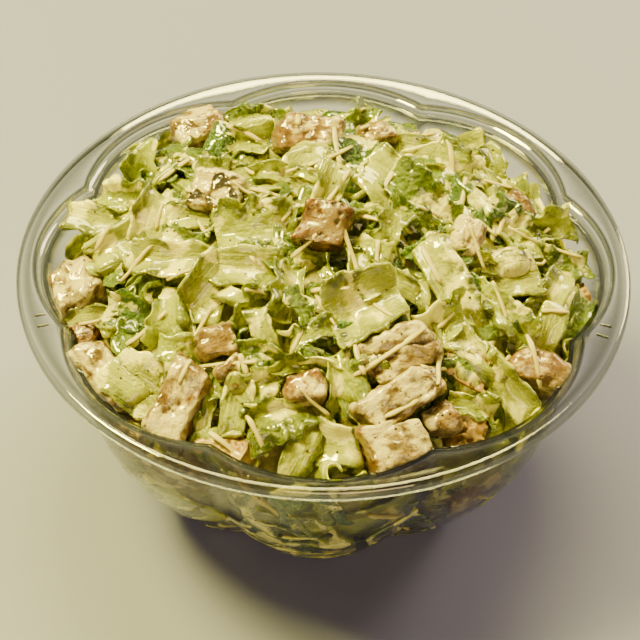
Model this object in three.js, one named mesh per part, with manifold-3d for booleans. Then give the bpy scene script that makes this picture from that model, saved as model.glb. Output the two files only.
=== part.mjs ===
// Chicken caesar salad in a clear lobed takeaway bowl: chopped romaine heaped above the rim, with cubes of chicken,
// croutons and shreds of parmesan.
// Millimetres, +Z up. The origin is the middle of the bowl's base, and the front of the salad faces -Y.
import * as THREE from "three";
import { mergeVertices } from "three/addons/utils/BufferGeometryUtils.js";
import Module from "manifold-3d";

const wasm = await Module();
wasm.setup();

// ---------------------------------------------------------------- driving dimensions
const rimRadius = 108; // an 8.5 inch bowl
const rimHeight = 88;
const wall = 0.8;
const lobeCount = 8;
const stepsPerLobe = 5; // odd, so that half a step puts a corner on each cusp
const lip = { reach: 2.4, drop: 3.2 }; // the turned-down outer edge of the rim
const flange = { lobe: 102.6, cusp: 96 }; // where the flat rim ends over a lobe and over a cusp
const lidStep = { in: 1.5, run: 0.4, drop: 2.1 }; // one of the two small steps that a lid snaps on
const wallTop = { lobe: 98.8, cusp: 92.2 };
const wallFoot = { lobe: 68.5, cusp: 61, height: 4 };
const wallBulge = 2.1; // the power that keeps the wall upright above and tucks it in below
const foot = { tuck: 2.4, rise: 1.1, flatTuck: 6.2 }; // the rounded edge round the flat base
const foodGap = 0.4; // between the food and the bowl, and between two pieces of food

const heap = { edgeHeight: rimHeight - 12, peak: 38, radius: 92, fullness: 0.8 }; // the dome of chopped leaves
const leafThickness = 1.3;
const shredWidth = 2.3;

// ---------------------------------------------------------------- small helpers
// A repeatable random number from 0 to 1, so that every build gives the same salad.
function seeded(seed) {
  let state = seed >>> 0;
  return () => {
    state = (state + 0x6d2b79f5) >>> 0;
    let t = Math.imul(state ^ (state >>> 15), 1 | state);
    t = (t + Math.imul(t ^ (t >>> 7), 61 | t)) ^ t;
    return ((t ^ (t >>> 14)) >>> 0) / 4294967296;
  };
}

const lerp = (a, b, t) => a + (b - a) * t;

// A three.js geometry as a manifold-3d solid, and back.
function solidOf(geometry, matrix = new THREE.Matrix4()) {
  const bare = new THREE.BufferGeometry().setAttribute("position", geometry.getAttribute("position").clone());
  bare.setIndex(geometry.index);
  const merged = mergeVertices(bare.applyMatrix4(matrix), 1e-4);
  const corners = merged.index.array;
  const faces = [];
  for (let i = 0; i < corners.length; i += 3) {
    const [a, b, c] = [corners[i], corners[i + 1], corners[i + 2]];
    if (a !== b && b !== c && c !== a) faces.push(a, b, c); // at a pole, half of the faces have no area
  }
  return new wasm.Manifold(
    new wasm.Mesh({
      numProp: 3,
      vertProperties: new Float32Array(merged.attributes.position.array),
      triVerts: new Uint32Array(faces),
    }),
  );
}

function geometryOf(solid) {
  const mesh = solid.getMesh();
  const geometry = new THREE.BufferGeometry()
    .setAttribute("position", new THREE.BufferAttribute(new Float32Array(mesh.vertProperties), 3))
    .setIndex(new THREE.BufferAttribute(new Uint32Array(mesh.triVerts), 1));
  geometry.computeVertexNormals();
  return geometry;
}

// The largest connected piece of a solid, with loose scraps and sealed hollows left out.
function mainPiece(solid) {
  const bodies = solid.decompose();
  bodies.sort((a, b) => b.volume() - a.volume());
  return bodies
    .slice(1)
    .filter((b) => b.volume() < 0)
    .reduce((whole, hollow) => whole.add(solidOf(turnedInsideOut(geometryOf(hollow)))), bodies[0]);
}

function turnedInsideOut(geometry) {
  const index = geometry.index.array;
  for (let i = 0; i < index.length; i += 3) [index[i + 1], index[i + 2]] = [index[i + 2], index[i + 1]];
  return geometry;
}

// ---------------------------------------------------------------- the lobed bowl
const halfLobe = Math.PI / lobeCount;

// The radius of a lobed outline at an angle from a lobe's middle: each lobe is one arc from cusp to cusp.
function lobedRadius(lobe, cusp, angle) {
  if (lobe - cusp < 0.01) return lobe;
  const chord = cusp * Math.sin(halfLobe);
  const rise = lobe - cusp * Math.cos(halfLobe);
  const arc = (chord * chord + rise * rise) / (2 * rise);
  const centre = lobe - arc;
  const offset = ((((angle + halfLobe) % (2 * halfLobe)) + 2 * halfLobe) % (2 * halfLobe)) - halfLobe;
  return centre * Math.cos(offset) + Math.sqrt(arc * arc - (centre * Math.sin(offset)) ** 2);
}

// A lathe-turned closed body whose rings are then drawn out to lobed outlines. The first and the last row are points
// on the axis.
function ringBody(rows, shape = (point) => point) {
  const profile = rows.map((row) => new THREE.Vector2(row.lobe, row.z));
  const body = new THREE.LatheGeometry(profile, lobeCount * stepsPerLobe);
  const position = body.getAttribute("position");
  for (let i = 0; i < position.count; i++) {
    const row = rows[i % rows.length];
    const step = Math.floor(i / rows.length) % (lobeCount * stepsPerLobe);
    const angle = ((step + 0.5) * 2 * Math.PI) / (lobeCount * stepsPerLobe);
    const radius = lobedRadius(row.lobe, row.cusp, angle);
    const onAxis = i % rows.length === 0 || i % rows.length === rows.length - 1;
    const point = [radius * Math.sin(angle), -radius * Math.cos(angle), row.z];
    position.setXYZ(i, ...(onAxis ? [0, 0, row.z] : shape(point, row)));
  }
  return turnedInsideOut(body);
}

const axisPoint = (z) => ({ lobe: 0, cusp: 0, z });
const circle = (radius, z) => ({ lobe: radius, cusp: radius, z });

// The inside of the wall, from below the lid steps (t = 0) to just above the base (t = 1).
const stepFoot = rimHeight - 2 * (lidStep.drop + lidStep.run);
function wallRow(t) {
  const fall = t ** wallBulge;
  return {
    lobe: lerp(wallTop.lobe, wallFoot.lobe, fall),
    cusp: lerp(wallTop.cusp, wallFoot.cusp, fall),
    z: lerp(stepFoot, wallFoot.height, t),
  };
}
const wallLevels = [0.09, 0.27, 0.45, 0.62, 0.76, 0.89, 1];

function insideRows() {
  const foldIn = (row, tuck, z) => ({ lobe: row.lobe - tuck, cusp: row.cusp - tuck, z });
  const edge = wallRow(1);
  const steps = [];
  for (let step = 0; step < 2; step++) {
    const z = rimHeight - step * (lidStep.drop + lidStep.run);
    const tuck = step * (lidStep.in + lidStep.run);
    steps.push(foldIn(flange, tuck, z), foldIn(flange, tuck + lidStep.run, z - lidStep.drop));
  }
  return [
    circle(rimRadius, rimHeight - lip.drop),
    circle(rimRadius - lip.reach, rimHeight),
    ...steps,
    wallRow(0),
    ...wallLevels.map(wallRow),
    foldIn(edge, foot.tuck, wall + foot.rise),
    foldIn(edge, foot.flatTuck, wall),
    axisPoint(wall),
  ];
}

// The outside follows the inside one wall thickness further out and down.
function outsideRows(inside) {
  return inside.map((row, i) => {
    if (i === inside.length - 1) return axisPoint(0);
    const before = inside[Math.max(i - 1, 0)];
    const after = inside[i + 1];
    const run = new THREE.Vector2(before.lobe - after.lobe, before.z - after.z).normalize();
    const out = i === inside.length - 2 ? new THREE.Vector2(0, -1) : new THREE.Vector2(run.y, -run.x);
    return {
      lobe: row.lobe + wall * out.x,
      cusp: row.cusp + wall * out.x,
      z: Math.max(row.z + wall * out.y, 0),
    };
  });
}

function bowlSolid() {
  const inside = insideRows();
  return solidOf(ringBody([...[...inside].reverse(), ...outsideRows(inside)]));
}

// ---------------------------------------------------------------- the room for food inside and above the bowl
function roomSolid() {
  const inside = insideRows();
  const shrink = (row) => ({
    lobe: row.lobe - foodGap,
    cusp: row.cusp - foodGap,
    z: row.z,
  });
  const sky = rimHeight + 60;
  const rows = [
    axisPoint(sky),
    circle(rimRadius + 20, sky),
    circle(rimRadius + 20, rimHeight + foodGap),
    ...inside.slice(2, -1).map(shrink),
    axisPoint(wall + foodGap),
  ];
  rows.at(-2).z += foodGap;
  rows[3].z += foodGap;
  return solidOf(ringBody(rows));
}

// ---------------------------------------------------------------- the heap's surface
function heapHeight(x, y) {
  const level = Math.max(1 - (x * x + y * y) / heap.radius ** 2, 0);
  return heap.edgeHeight + heap.peak * level ** heap.fullness;
}

// The core under the loose pieces: it fills the lobes and rises to a dome.
function coreSolid() {
  const sink = 3; // the pieces on top stand this much proud of the core
  const bumps = 1.6;
  const settle = ([x, y, z], row) => {
    if (!row.dome) return [x, y, z];
    const bump = bumps * (Math.sin(x / 7) * Math.cos(y / 9) + Math.sin((x + y) / 11));
    return [x, y, heapHeight(x, y) - sink + bump];
  };
  const rows = [
    { ...axisPoint(heapHeight(0, 0) - sink) },
    ...[0.22, 0.42, 0.6, 0.76, 0.9].map((share) => ({
      lobe: heap.radius * share,
      cusp: heap.radius * share * lerp(1, 0.97, share),
      z: 0,
      dome: true,
    })),
    ...insideRows()
      .slice(6, -1)
      .filter((row) => row.z < heap.edgeHeight)
      .map((row) => ({ lobe: row.lobe - foodGap, cusp: row.cusp - foodGap, z: row.z })),
    axisPoint(wall + foodGap),
  ];
  rows.at(-2).z += foodGap;
  return solidOf(ringBody(rows, settle));
}

// ---------------------------------------------------------------- placing a piece on the heap
// lean tips a piece's face from straight up towards the front, side tips it to the right, and turn spins it in its own
// plane. All are degrees.
function onHeap(x, y, { lean = 0, side = 0, turn = 0, lift = 0 }) {
  const place = new THREE.Object3D();
  place.position.set(x, y, heapHeight(x, y) + lift);
  place.rotation.set(THREE.MathUtils.degToRad(lean), THREE.MathUtils.degToRad(side), 0, "YXZ");
  place.rotateZ(THREE.MathUtils.degToRad(turn));
  place.updateMatrix();
  return place;
}

// A piece pressed against the wall, at an angle round the bowl from the front and a height. Its own Z points outwards.
function atWall(degrees, z, { turn = 0, sink = 0 }) {
  const angle = THREE.MathUtils.degToRad(degrees);
  const t = (stepFoot - z) / (stepFoot - wallFoot.height);
  const row = wallRow(t);
  const below = wallRow(t + 0.02);
  const radius = lobedRadius(row.lobe, row.cusp, angle) - sink;
  const place = new THREE.Object3D();
  place.position.set(radius * Math.sin(angle), -radius * Math.cos(angle), z);
  const tilt = Math.atan2(row.lobe - below.lobe, row.z - below.z);
  place.rotation.set(Math.PI / 2 + tilt, 0, angle, "ZYX");
  place.rotateZ(THREE.MathUtils.degToRad(turn));
  place.updateMatrix();
  return place;
}

// ---------------------------------------------------------------- lettuce and parmesan, fused into the heap
// One chopped piece of romaine: [x, y, length, width, turn, lean, side, curl].
const romaine = [
  [-83, 22, 29, 13, -14, 30, 0, 1], // strip over the left of the rim
  [-71, 52, 28, 17, 82, 62, -10, 3], // pointed leaf standing at the back left
  [-72, 28, 21, 13, -8, 42, 0, 4],
  [-61, 2, 23, 17, 62, 32, -15, 3],
  [-72, -7, 25, 18, 35, 40, 12, 4],
  [-40, 27, 17, 10, 5, 30, 0, 3],
  [-36, 46, 17, 13, -30, 30, 8, 3],
  [-26, 45, 19, 15, 10, 35, 0, 3],
  [-20, 19, 14, 10, 10, 38, 10, 4],
  [-27, 75, 24, 11, 5, 40, 0, 2],
  [-24, -11, 27, 19, 10, 28, 5, 3],
  [-46, 0, 18, 11, 8, 25, 0, 2],
  [-48, -10, 18, 8, -18, 35, 0, 3],
  [-52, -19, 27, 16, -8, 30, -8, 2],
  [-38, -33, 24, 17, 60, 36, 12, 4],
  [-27, -29, 20, 16, -5, 30, 0, 2],
  [-25, -44, 23, 10, 68, 40, 15, 4],
  [-13, -38, 18, 16, 82, 35, -8, 3],
  [-52, -42, 19, 14, 80, 38, -10, 3],
  [-66, -34, 18, 12, -12, 30, 0, 3],
  [-80, -29, 24, 9, -3, 30, -10, 2],
  [-47, -55, 17, 12, -5, 40, 5, 4],
  [14, 67, 14, 14, 70, 50, 5, 4], // tuft at the back
  [29, 44, 22, 10, -8, 30, 0, 2],
  [1, 7, 20, 11, 75, 32, 12, 3],
  [10, 14, 14, 8, 80, 45, -20, 3],
  [22, 14, 23, 19, -35, 25, 8, 2],
  [36, 5, 35, 16, -36, 28, 14, 3], // large coated leaf
  [30, -4, 20, 10, -25, 40, 0, 4],
  [38, 36, 18, 13, 20, 30, 5, 3],
  [47, 32, 22, 18, -15, 32, 12, 4],
  [62, 43, 24, 11, -62, 42, 20, 3],
  [69, 28, 18, 9, -70, 40, 25, 2],
  [63, 9, 18, 15, -30, 35, 15, 3],
  [84, 24, 21, 15, 25, 55, 5, 6], // arched leaf at the right
  [82, 1, 27, 11, 10, 32, 5, 3],
  [72, 1, 17, 11, -12, 30, 10, 4],
  [66, -17, 19, 15, 25, 30, 10, 3],
  [54, -15, 19, 8, -12, 38, 5, 2],
  [22, -12, 23, 10, 68, 35, 5, 4],
  [43, -30, 35, 14, -55, 30, 10, 3], // long pale strip
  [61, -33, 28, 12, -42, 30, 8, 3],
  [77, -21, 28, 12, 66, 38, 18, 4],
  [90, -24, 22, 16, 75, 50, 30, 3],
  [14, -44, 26, 25, 28, 34, 4, 2], // large square
  [24, -32, 19, 8, -25, 30, 0, 3],
  [-62, -59, 21, 19, -35, 36, -6, 2], // ribbed square at the left
  [-22, -60, 16, 12, 10, 36, 0, 4],
  [-9, -62, 24, 12, -12, 38, 0, 4],
  [-4, -52, 19, 8, 18, 30, 0, 3],
  [-19, -69, 19, 12, 25, 40, 0, 4],
  [-28, -75, 22, 10, 80, 45, -5, 2],
  [-12, -80, 25, 17, 20, 42, 5, 5],
  [-39, -75, 19, 8, 70, 45, -15, 3],
  [-6, -87, 21, 11, 65, 50, 0, 3],
  [7, -85, 18, 14, -10, 40, 0, 3],
  [8, -68, 22, 13, -72, 40, 15, 5],
  [40, -43, 18, 15, 35, 32, 8, 3],
  [56, -56, 37, 13, -42, 36, 10, 3], // long strip at the front right
  [50, -68, 18, 12, -8, 42, 8, 3],
  [56, -73, 13, 10, 20, 40, 5, 4],
  [67, -66, 18, 11, 10, 38, 12, 2],
  [77, -34, 22, 10, 84, 42, 20, 3],
];

// A thin sheet: two copies of one plane, split into triangles alike, joined round the border.
function sheetGeometry(length, width, thickness, cellsAlong, cellsAcross) {
  const plane = new THREE.PlaneGeometry(length, width, cellsAlong, cellsAcross);
  const flat = plane.getAttribute("position");
  const upper = plane.index.array;
  const points = [];
  for (const side of [1, -1]) {
    for (let i = 0; i < flat.count; i++) points.push(flat.getX(i), flat.getY(i), (side * thickness) / 2);
  }
  const faces = [...upper];
  for (let i = 0; i < upper.length; i += 3) {
    faces.push(upper[i] + flat.count, upper[i + 2] + flat.count, upper[i + 1] + flat.count);
  }
  const perRow = cellsAlong + 1;
  const border = [];
  for (let i = 0; i < cellsAlong; i++) border.push(i);
  for (let i = 0; i < cellsAcross; i++) border.push(i * perRow + cellsAlong);
  for (let i = cellsAlong; i > 0; i--) border.push(cellsAcross * perRow + i);
  for (let i = cellsAcross; i > 0; i--) border.push(i * perRow);
  border.forEach((a, i) => {
    const b = border[(i + 1) % border.length];
    faces.push(a, b, b + flat.count, a, b + flat.count, a + flat.count);
  });
  return new THREE.BufferGeometry()
    .setAttribute("position", new THREE.Float32BufferAttribute(points, 3))
    .setIndex(faces);
}

// A chopped leaf: a sheet that is arched along its length and rippled.
function leafSolid([x, y, length, width, turn, lean, side, curl], random) {
  const sheet = sheetGeometry(length, width, leafThickness, length > 30 ? 3 : 2, width > 16 ? 2 : 1);
  const position = sheet.getAttribute("position");
  const phase = random() * 2 * Math.PI;
  const ripple = lerp(0.6, 1.6, random());
  for (let i = 0; i < position.count; i++) {
    const u = (2 * position.getX(i)) / length;
    const v = (2 * position.getY(i)) / width;
    const bend = curl * (0.5 - u * u) + ripple * Math.sin(2.4 * u + 1.7 * v + phase);
    position.setZ(i, position.getZ(i) + bend);
    position.setX(i, position.getX(i) * (1 - 0.1 * v * Math.sin(phase)));
  }
  const slope = THREE.MathUtils.degToRad(Math.min(Math.abs(lean), 60));
  const lift = 0.3 * width * Math.sin(slope) - 1;
  return solidOf(sheet, onHeap(x, y, { lean, side, turn, lift }).matrix);
}

// Leaves by rule for the rest of the heap, on a spiral from its middle, wherever no chosen piece lies near. Each lies
// along the slope.
function fillLeaves(taken, random) {
  const rows = [];
  const goldenAngle = Math.PI * (3 - Math.sqrt(5));
  for (let i = 0; i < fill.count; i++) {
    const radius = 88 * Math.sqrt((i + 0.5) / fill.count);
    const x = radius * Math.cos(i * goldenAngle);
    const y = radius * Math.sin(i * goldenAngle);
    if (taken.some(([tx, ty]) => Math.hypot(tx - x, ty - y) < fill.clear)) continue;
    const dome = THREE.MathUtils.radToDeg(
      Math.atan((heapHeight(x * 0.95, y * 0.95) - heapHeight(x, y)) / (0.05 * radius)),
    );
    rows.push([
      x,
      y,
      lerp(...fill.length, random()),
      lerp(...fill.width, random()),
      lerp(-90, 90, random()),
      (-dome * y) / radius + lerp(-14, 24, random()),
      (dome * x) / radius + lerp(-12, 12, random()),
      lerp(2, 4, random()),
    ]);
  }
  return rows;
}
const fill = { count: 74, clear: 14, length: [17, 25], width: [11, 18] };

// One shred of parmesan: [x, y, length, turn, lean].
const parmesan = [
  [-40, 34, 18, -24, 20],
  [-2, 26, 28, 34, 25],
  [49, 18, 12, 80, 40],
  [54, 8, 17, -42, 25],
  [78, 4, 27, -4, 20],
  [28, 52, 16, 34, 35],
  [-1, -40, 26, -68, 35],
  [22, -61, 27, 30, 40],
  [38, -63, 15, 86, 45],
  [71, -50, 16, -74, 40],
  [-28, -86, 19, -30, 40],
  [-31, -62, 20, -14, 35],
  [-55, 34, 15, 42, 25],
  [-18, 6, 16, -12, 20],
  [8, -22, 26, -66, 30],
  [-64, -28, 18, -20, 25],
];

function shredSolid([x, y, length, turn, lean]) {
  const box = new THREE.BoxGeometry(length, shredWidth, shredWidth);
  const lift = 3.2;
  return solidOf(box, onHeap(x, y, { lean, turn, lift }).matrix);
}

// ---------------------------------------------------------------- chicken and croutons, each its own piece
// A cut chunk: a box with softened corners and uneven faces.
function chunkGeometry(size, seed, softness) {
  const [length, width, height] = size;
  const box = new THREE.BoxGeometry(2, 2, 2, 2, 2, 2);
  const random = seeded(seed);
  const phases = [random(), random(), random(), random()].map((share) => share * 2 * Math.PI);
  const position = box.getAttribute("position");
  const point = new THREE.Vector3();
  for (let i = 0; i < position.count; i++) {
    point.fromBufferAttribute(position, i);
    const round = point.clone().normalize().multiplyScalar(1.22);
    point.lerp(round, softness);
    const swell =
      1 + 0.07 * (Math.sin(2.3 * point.x + phases[0]) + Math.sin(2.9 * point.y + phases[1]) * Math.cos(point.z + phases[2]));
    point.multiplyScalar(swell);
    point.x += 0.16 * point.y * Math.cos(phases[3]);
    position.setXYZ(i, (point.x * length) / 2, (point.y * width) / 2, (point.z * height) / 2);
  }
  return box;
}

// Each chunk: name, where it lies on the heap, its size, how far its middle stands above the heap, and its angles.
const chicken = [
  { name: "chicken_back_left", at: [-48, 67], size: [20, 15, 15], lift: 3, turn: 20, lean: 15, side: -8 },
  { name: "chicken_back", at: [-7, 41], size: [24, 17, 14], lift: 1, turn: -6, lean: 30, side: 4 },
  { name: "chicken_back_small", at: [18, 46], size: [13, 8, 8], lift: 2, turn: 12, lean: 20, side: 0 },
  { name: "chicken_charred", at: [-37, 8], size: [19, 14, 12], lift: 1, turn: -14, lean: 25, side: -8 },
  { name: "chicken_left", at: [-85, -15], size: [19, 17, 18], lift: 1, turn: 30, lean: 12, side: -10 },
  { name: "chicken_left_front", at: [-71, -53], size: [28, 13, 14], lift: -1, turn: -54, lean: 25, side: -12 },
  { name: "chicken_strip", at: [-47, -70], size: [28, 14, 14], lift: 1, turn: 64, lean: 35, side: -6 },
  { name: "chicken_left_small", at: [-35, -52], size: [13, 11, 10], lift: -1, turn: 10, lean: 30, side: 0 },
  { name: "chicken_front_bit", at: [-28, -63], size: [10, 9, 8], lift: 0, turn: 50, lean: 30, side: 0 },
  { name: "chicken_front_brown", at: [-6, -69], size: [14, 11, 11], lift: -1, turn: 12, lean: 30, side: 0 },
  { name: "chicken_slice_upper", at: [25, -56], size: [27, 16, 13], lift: -1, turn: 28, lean: 38, side: 4 },
  { name: "chicken_slice_lower", at: [25, -71], size: [26, 14, 13], lift: 1, turn: 44, lean: 42, side: 8 },
  { name: "chicken_cube", at: [26, -85], size: [21, 20, 18], lift: 1, turn: 18, lean: 30, side: 6 },
  { name: "chicken_cube_behind", at: [38, -74], size: [11, 10, 10], lift: 0, turn: 20, lean: 30, side: 0 },
  { name: "chicken_right_front", at: [73, -48], size: [22, 13, 14], lift: 0, turn: -12, lean: 28, side: 16 },
  { name: "chicken_right_mid", at: [50, -7], size: [14, 10, 10], lift: 1, turn: 74, lean: 35, side: 10 },
  { name: "chicken_right_bit", at: [63, -11], size: [11, 9, 9], lift: 0, turn: 20, lean: 30, side: 10 },
  { name: "chicken_right_back", at: [69, 20], size: [13, 8, 9], lift: 0, turn: -30, lean: 25, side: 15 },
  { name: "chicken_wall_left", wall: [-32, 61], size: [23, 14, 15], sink: 5, turn: -12 },
  { name: "chicken_wall_right", wall: [38, 44], size: [20, 15, 15], sink: 5, turn: 24 },
  { name: "chicken_wall_back", wall: [168, 50], size: [24, 17, 15], sink: 5, turn: -15 },
  { name: "chicken_wall_back_left", wall: [-128, 62], size: [20, 16, 15], sink: 5, turn: 35 },
];

const croutons = [
  { name: "crouton_top", at: [0, -14], size: [18, 15, 13], lift: 2, turn: -10, lean: 30, side: 0 },
  { name: "crouton_left", at: [-83, -35], size: [14, 11, 11], lift: -1, turn: 10, lean: 20, side: -10 },
  { name: "crouton_wall_left", wall: [-43, 68], size: [15, 13, 13], sink: 5, turn: 8 },
  { name: "crouton_front_left", wall: [-23, 75], size: [31, 14, 12], sink: 4, turn: 12 },
  { name: "crouton_front_right", at: [47, -54], size: [18, 12, 11], lift: -5, turn: -20, lean: 30, side: 10 },
  { name: "crouton_front_small", at: [48, -73], size: [14, 12, 11], lift: -3, turn: 10, lean: 30, side: 6 },
  { name: "crouton_right", at: [88, -6], size: [12, 10, 10], lift: -6, turn: 20, lean: 20, side: 10 },
  { name: "crouton_wall_back", wall: [132, 60], size: [15, 14, 14], sink: 5, turn: -20 },
];

// ---------------------------------------------------------------- putting it together
const materials = {
  bowl: new THREE.MeshStandardMaterial({ color: 0xdfe3e4, roughness: 0.08, transparent: true, opacity: 0.35 }),
  romaine: new THREE.MeshStandardMaterial({ color: 0xb9c66a, roughness: 0.45 }),
  chicken: new THREE.MeshStandardMaterial({ color: 0xd8c3a4, roughness: 0.5 }),
  crouton: new THREE.MeshStandardMaterial({ color: 0xb4763a, roughness: 0.7 }),
};

const salad = new THREE.Group();
const room = roomSolid();

function addMesh(name, solid, material, place = new THREE.Object3D()) {
  place.updateMatrix();
  const local = solid.transform(place.matrix.clone().invert().toArray());
  const mesh = new THREE.Mesh(geometryOf(local), material);
  mesh.name = name;
  mesh.position.copy(place.position);
  mesh.quaternion.copy(place.quaternion);
  salad.add(mesh);
}

addMesh("bowl", bowlSolid(), materials.bowl);

// Chunks are cut to the bowl and to the chunks before them. Each leaves a slightly larger pocket in the heap.
let pockets = [];
function addChunk(chunk, index, material, softness) {
  const place = chunk.wall ? atWall(...chunk.wall, chunk) : onHeap(...chunk.at, chunk);
  const seed = 101 + 17 * index;
  const grown = chunk.size.map((side) => side + 2 * foodGap);
  let solid = solidOf(chunkGeometry(chunk.size, seed, softness), place.matrix).intersect(room);
  for (const pocket of pockets) solid = solid.subtract(pocket);
  addMesh(chunk.name, mainPiece(solid), material, place);
  pockets.push(solidOf(chunkGeometry(grown, seed, softness), place.matrix));
}
chicken.forEach((chunk, index) => addChunk(chunk, index, materials.chicken, 0.35));
croutons.forEach((chunk, index) => addChunk(chunk, index + chicken.length, materials.crouton, 0.25));

const random = seeded(7);
const taken = [...romaine, ...[...chicken, ...croutons].filter((chunk) => chunk.at).map((chunk) => chunk.at)];
let heapSolid = coreSolid();
for (const row of [...romaine, ...fillLeaves(taken, random)]) heapSolid = heapSolid.add(leafSolid(row, random));
for (const row of parmesan) heapSolid = heapSolid.add(shredSolid(row));
heapSolid = heapSolid.intersect(room);
for (const pocket of pockets) heapSolid = heapSolid.subtract(pocket);
addMesh("romaine_heap", mainPiece(heapSolid), materials.romaine);

export default salad;
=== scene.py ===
# %% [markdown]
# # A chicken caesar salad in its clear bowl
#
# The imported CAD model gives the frame: the lobed bowl, the heap of romaine, and every cube of chicken and crouton at
# its real size and place, in metres. This script dresses that frame. It loads the model first.

# %% Load the frame
import math

import bmesh
import bpy
import numpy as np
from mathutils import Euler, Matrix, Vector
from mathutils.bvhtree import BVHTree


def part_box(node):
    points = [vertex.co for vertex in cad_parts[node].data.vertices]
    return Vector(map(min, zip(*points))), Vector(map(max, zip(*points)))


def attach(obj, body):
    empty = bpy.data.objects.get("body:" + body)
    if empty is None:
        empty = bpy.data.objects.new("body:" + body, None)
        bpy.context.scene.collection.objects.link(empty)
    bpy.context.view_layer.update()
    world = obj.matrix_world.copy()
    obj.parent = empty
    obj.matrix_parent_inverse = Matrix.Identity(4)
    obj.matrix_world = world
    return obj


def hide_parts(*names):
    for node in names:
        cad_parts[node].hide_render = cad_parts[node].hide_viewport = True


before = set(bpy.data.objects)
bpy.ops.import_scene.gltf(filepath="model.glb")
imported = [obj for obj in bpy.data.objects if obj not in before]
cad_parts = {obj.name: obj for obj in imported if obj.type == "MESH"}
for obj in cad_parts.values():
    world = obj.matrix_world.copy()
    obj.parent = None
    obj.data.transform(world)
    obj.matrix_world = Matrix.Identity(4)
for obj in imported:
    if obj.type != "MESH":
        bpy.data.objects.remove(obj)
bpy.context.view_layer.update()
MM = 0.001

# %% [markdown]
# Every size below is a real one in millimetres, the same as in the CAD: the bowl's rim, lobes and wall, and the dome
# that the chopped leaves make. Naming them once means that the bowl, the core and each leaf agree on where the wall is.

# %% Sizes of the bowl and the heap
rim_radius, rim_height, wall = 108.0, 88.0, 0.8
lobes = 8
lip_reach, lip_drop = 2.4, 3.2
flange_lobe, flange_cusp = 102.6, 96.0
step_in, step_run, step_drop = 1.5, 0.4, 2.1
wall_top_lobe, wall_top_cusp = 98.8, 92.2
wall_foot_lobe, wall_foot_cusp, foot_height = 68.5, 61.0, 4.0
wall_bulge = 2.1
foot_tuck, foot_rise, flat_tuck = 2.4, 1.1, 6.2
step_foot = rim_height - 2 * (step_drop + step_run)
heap_edge, heap_peak, heap_radius, heap_fullness = rim_height - 12, 38.0, 92.0, 0.8


def lobed_radius(lobe, cusp, angle):
    """The radius of a lobed outline at an angle from the middle of a lobe. Each lobe is one arc from cusp to cusp."""
    half = math.pi / lobes
    chord = cusp * math.sin(half)
    rise = lobe - cusp * math.cos(half)
    arc = (chord * chord + rise * rise) / (2 * rise)
    centre = lobe - arc
    offset = (angle + half) % (2 * half) - half
    return centre * np.cos(offset) + np.sqrt(arc * arc - (centre * np.sin(offset)) ** 2)


def wall_inside(z, angle):
    """The inside radius of the bowl at a height and an angle from the front, by arrays."""
    z = np.asarray(z, float)
    t = np.clip((step_foot - z) / (step_foot - foot_height), 0, 1)
    lobe = wall_top_lobe - (wall_top_lobe - wall_foot_lobe) * t**wall_bulge
    cusp = wall_top_cusp - (wall_top_cusp - wall_foot_cusp) * t**wall_bulge
    low = np.clip((foot_height - z) / (foot_height - wall - foot_rise), 0, 1)
    above = np.clip((z - step_foot) / (rim_height - step_foot), 0, 1)
    grow = (flange_lobe - wall_top_lobe) * above - foot_tuck * low
    return lobed_radius(lobe + grow, cusp + grow, angle)


def heap_height(x, y):
    """The height of the heap's dome, by arrays."""
    level = np.maximum(1 - (np.asarray(x) ** 2 + np.asarray(y) ** 2) / heap_radius**2, 0)
    return heap_edge + heap_peak * level**heap_fullness


print("wall radius half way up:", round(float(wall_inside(44, 0)), 1), "mm over a lobe")


# %% [markdown]
# Materials are node networks. Small helpers keep them readable: one turns a web colour into the linear numbers that the
# renderer wants, one adds any node, sets its values and links its inputs, and one lays a colour over another, as a
# film of dressing or a burnt patch lies on what is below it.

# %% Helpers for materials
def linear(web_colour):
    """An sRGB hex colour as linear red, green, blue and alpha."""
    shares = [int(web_colour[i : i + 2], 16) / 255 for i in (1, 3, 5)]
    return (*[c / 12.92 if c <= 0.04045 else ((c + 0.055) / 1.055) ** 2.4 for c in shares], 1)


def new_material(name):
    material = bpy.data.materials.new(name)
    material.use_nodes = True
    material.node_tree.nodes.clear()
    return material


def add_node(material, kind, settings=None, stops=(), out=0, **inputs):
    """Adds a node and returns one of its outputs. settings are its properties, and stops the places and colours of a
    colour ramp. inputs are values, web colours or outputs to link, by a socket's name or, as in _6, by its number."""
    node = material.node_tree.nodes.new("ShaderNode" + kind)
    for name, value in (settings or {}).items():
        setattr(node, name, value)
    for _ in stops[2:]:
        node.color_ramp.elements.new(0.5)
    for i, (place, colour) in enumerate(stops):
        node.color_ramp.elements[i].position = place
        node.color_ramp.elements[i].color = linear(colour)
    for name, value in inputs.items():
        socket = node.inputs[int(name[1:]) if name[1:].isdigit() else name.replace("_", " ")]
        if isinstance(value, bpy.types.NodeSocket):
            material.node_tree.links.new(value, socket)
        else:
            socket.default_value = linear(value) if isinstance(value, str) else value
    return node.outputs[out] if node.outputs else node


mixing, smooth = {"data_type": "RGBA"}, {"interpolation_type": "SMOOTHSTEP"}
add, scale_and_add = {"operation": "ADD"}, {"operation": "MULTIPLY_ADD"}


def cover(material, colour, over, value, low, high, most, ease=None):
    """Lays one colour over another where a value passes from low to high, up to a share of most."""
    share = add_node(material, "MapRange", ease, Value=value, _1=low, _2=high, _3=0.0, _4=most)
    return add_node(material, "Mix", mixing, out=2, Factor=share, _6=colour, _7=over)


# %% [markdown]
# Meshes made by rule need two things: a repeatable smooth randomness, and a way to attach values to their points for
# the materials to read. The random numbers are seeded, so each run gives the same salad. Every finished piece is then
# kept in one way, which says what it stands for.

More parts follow.
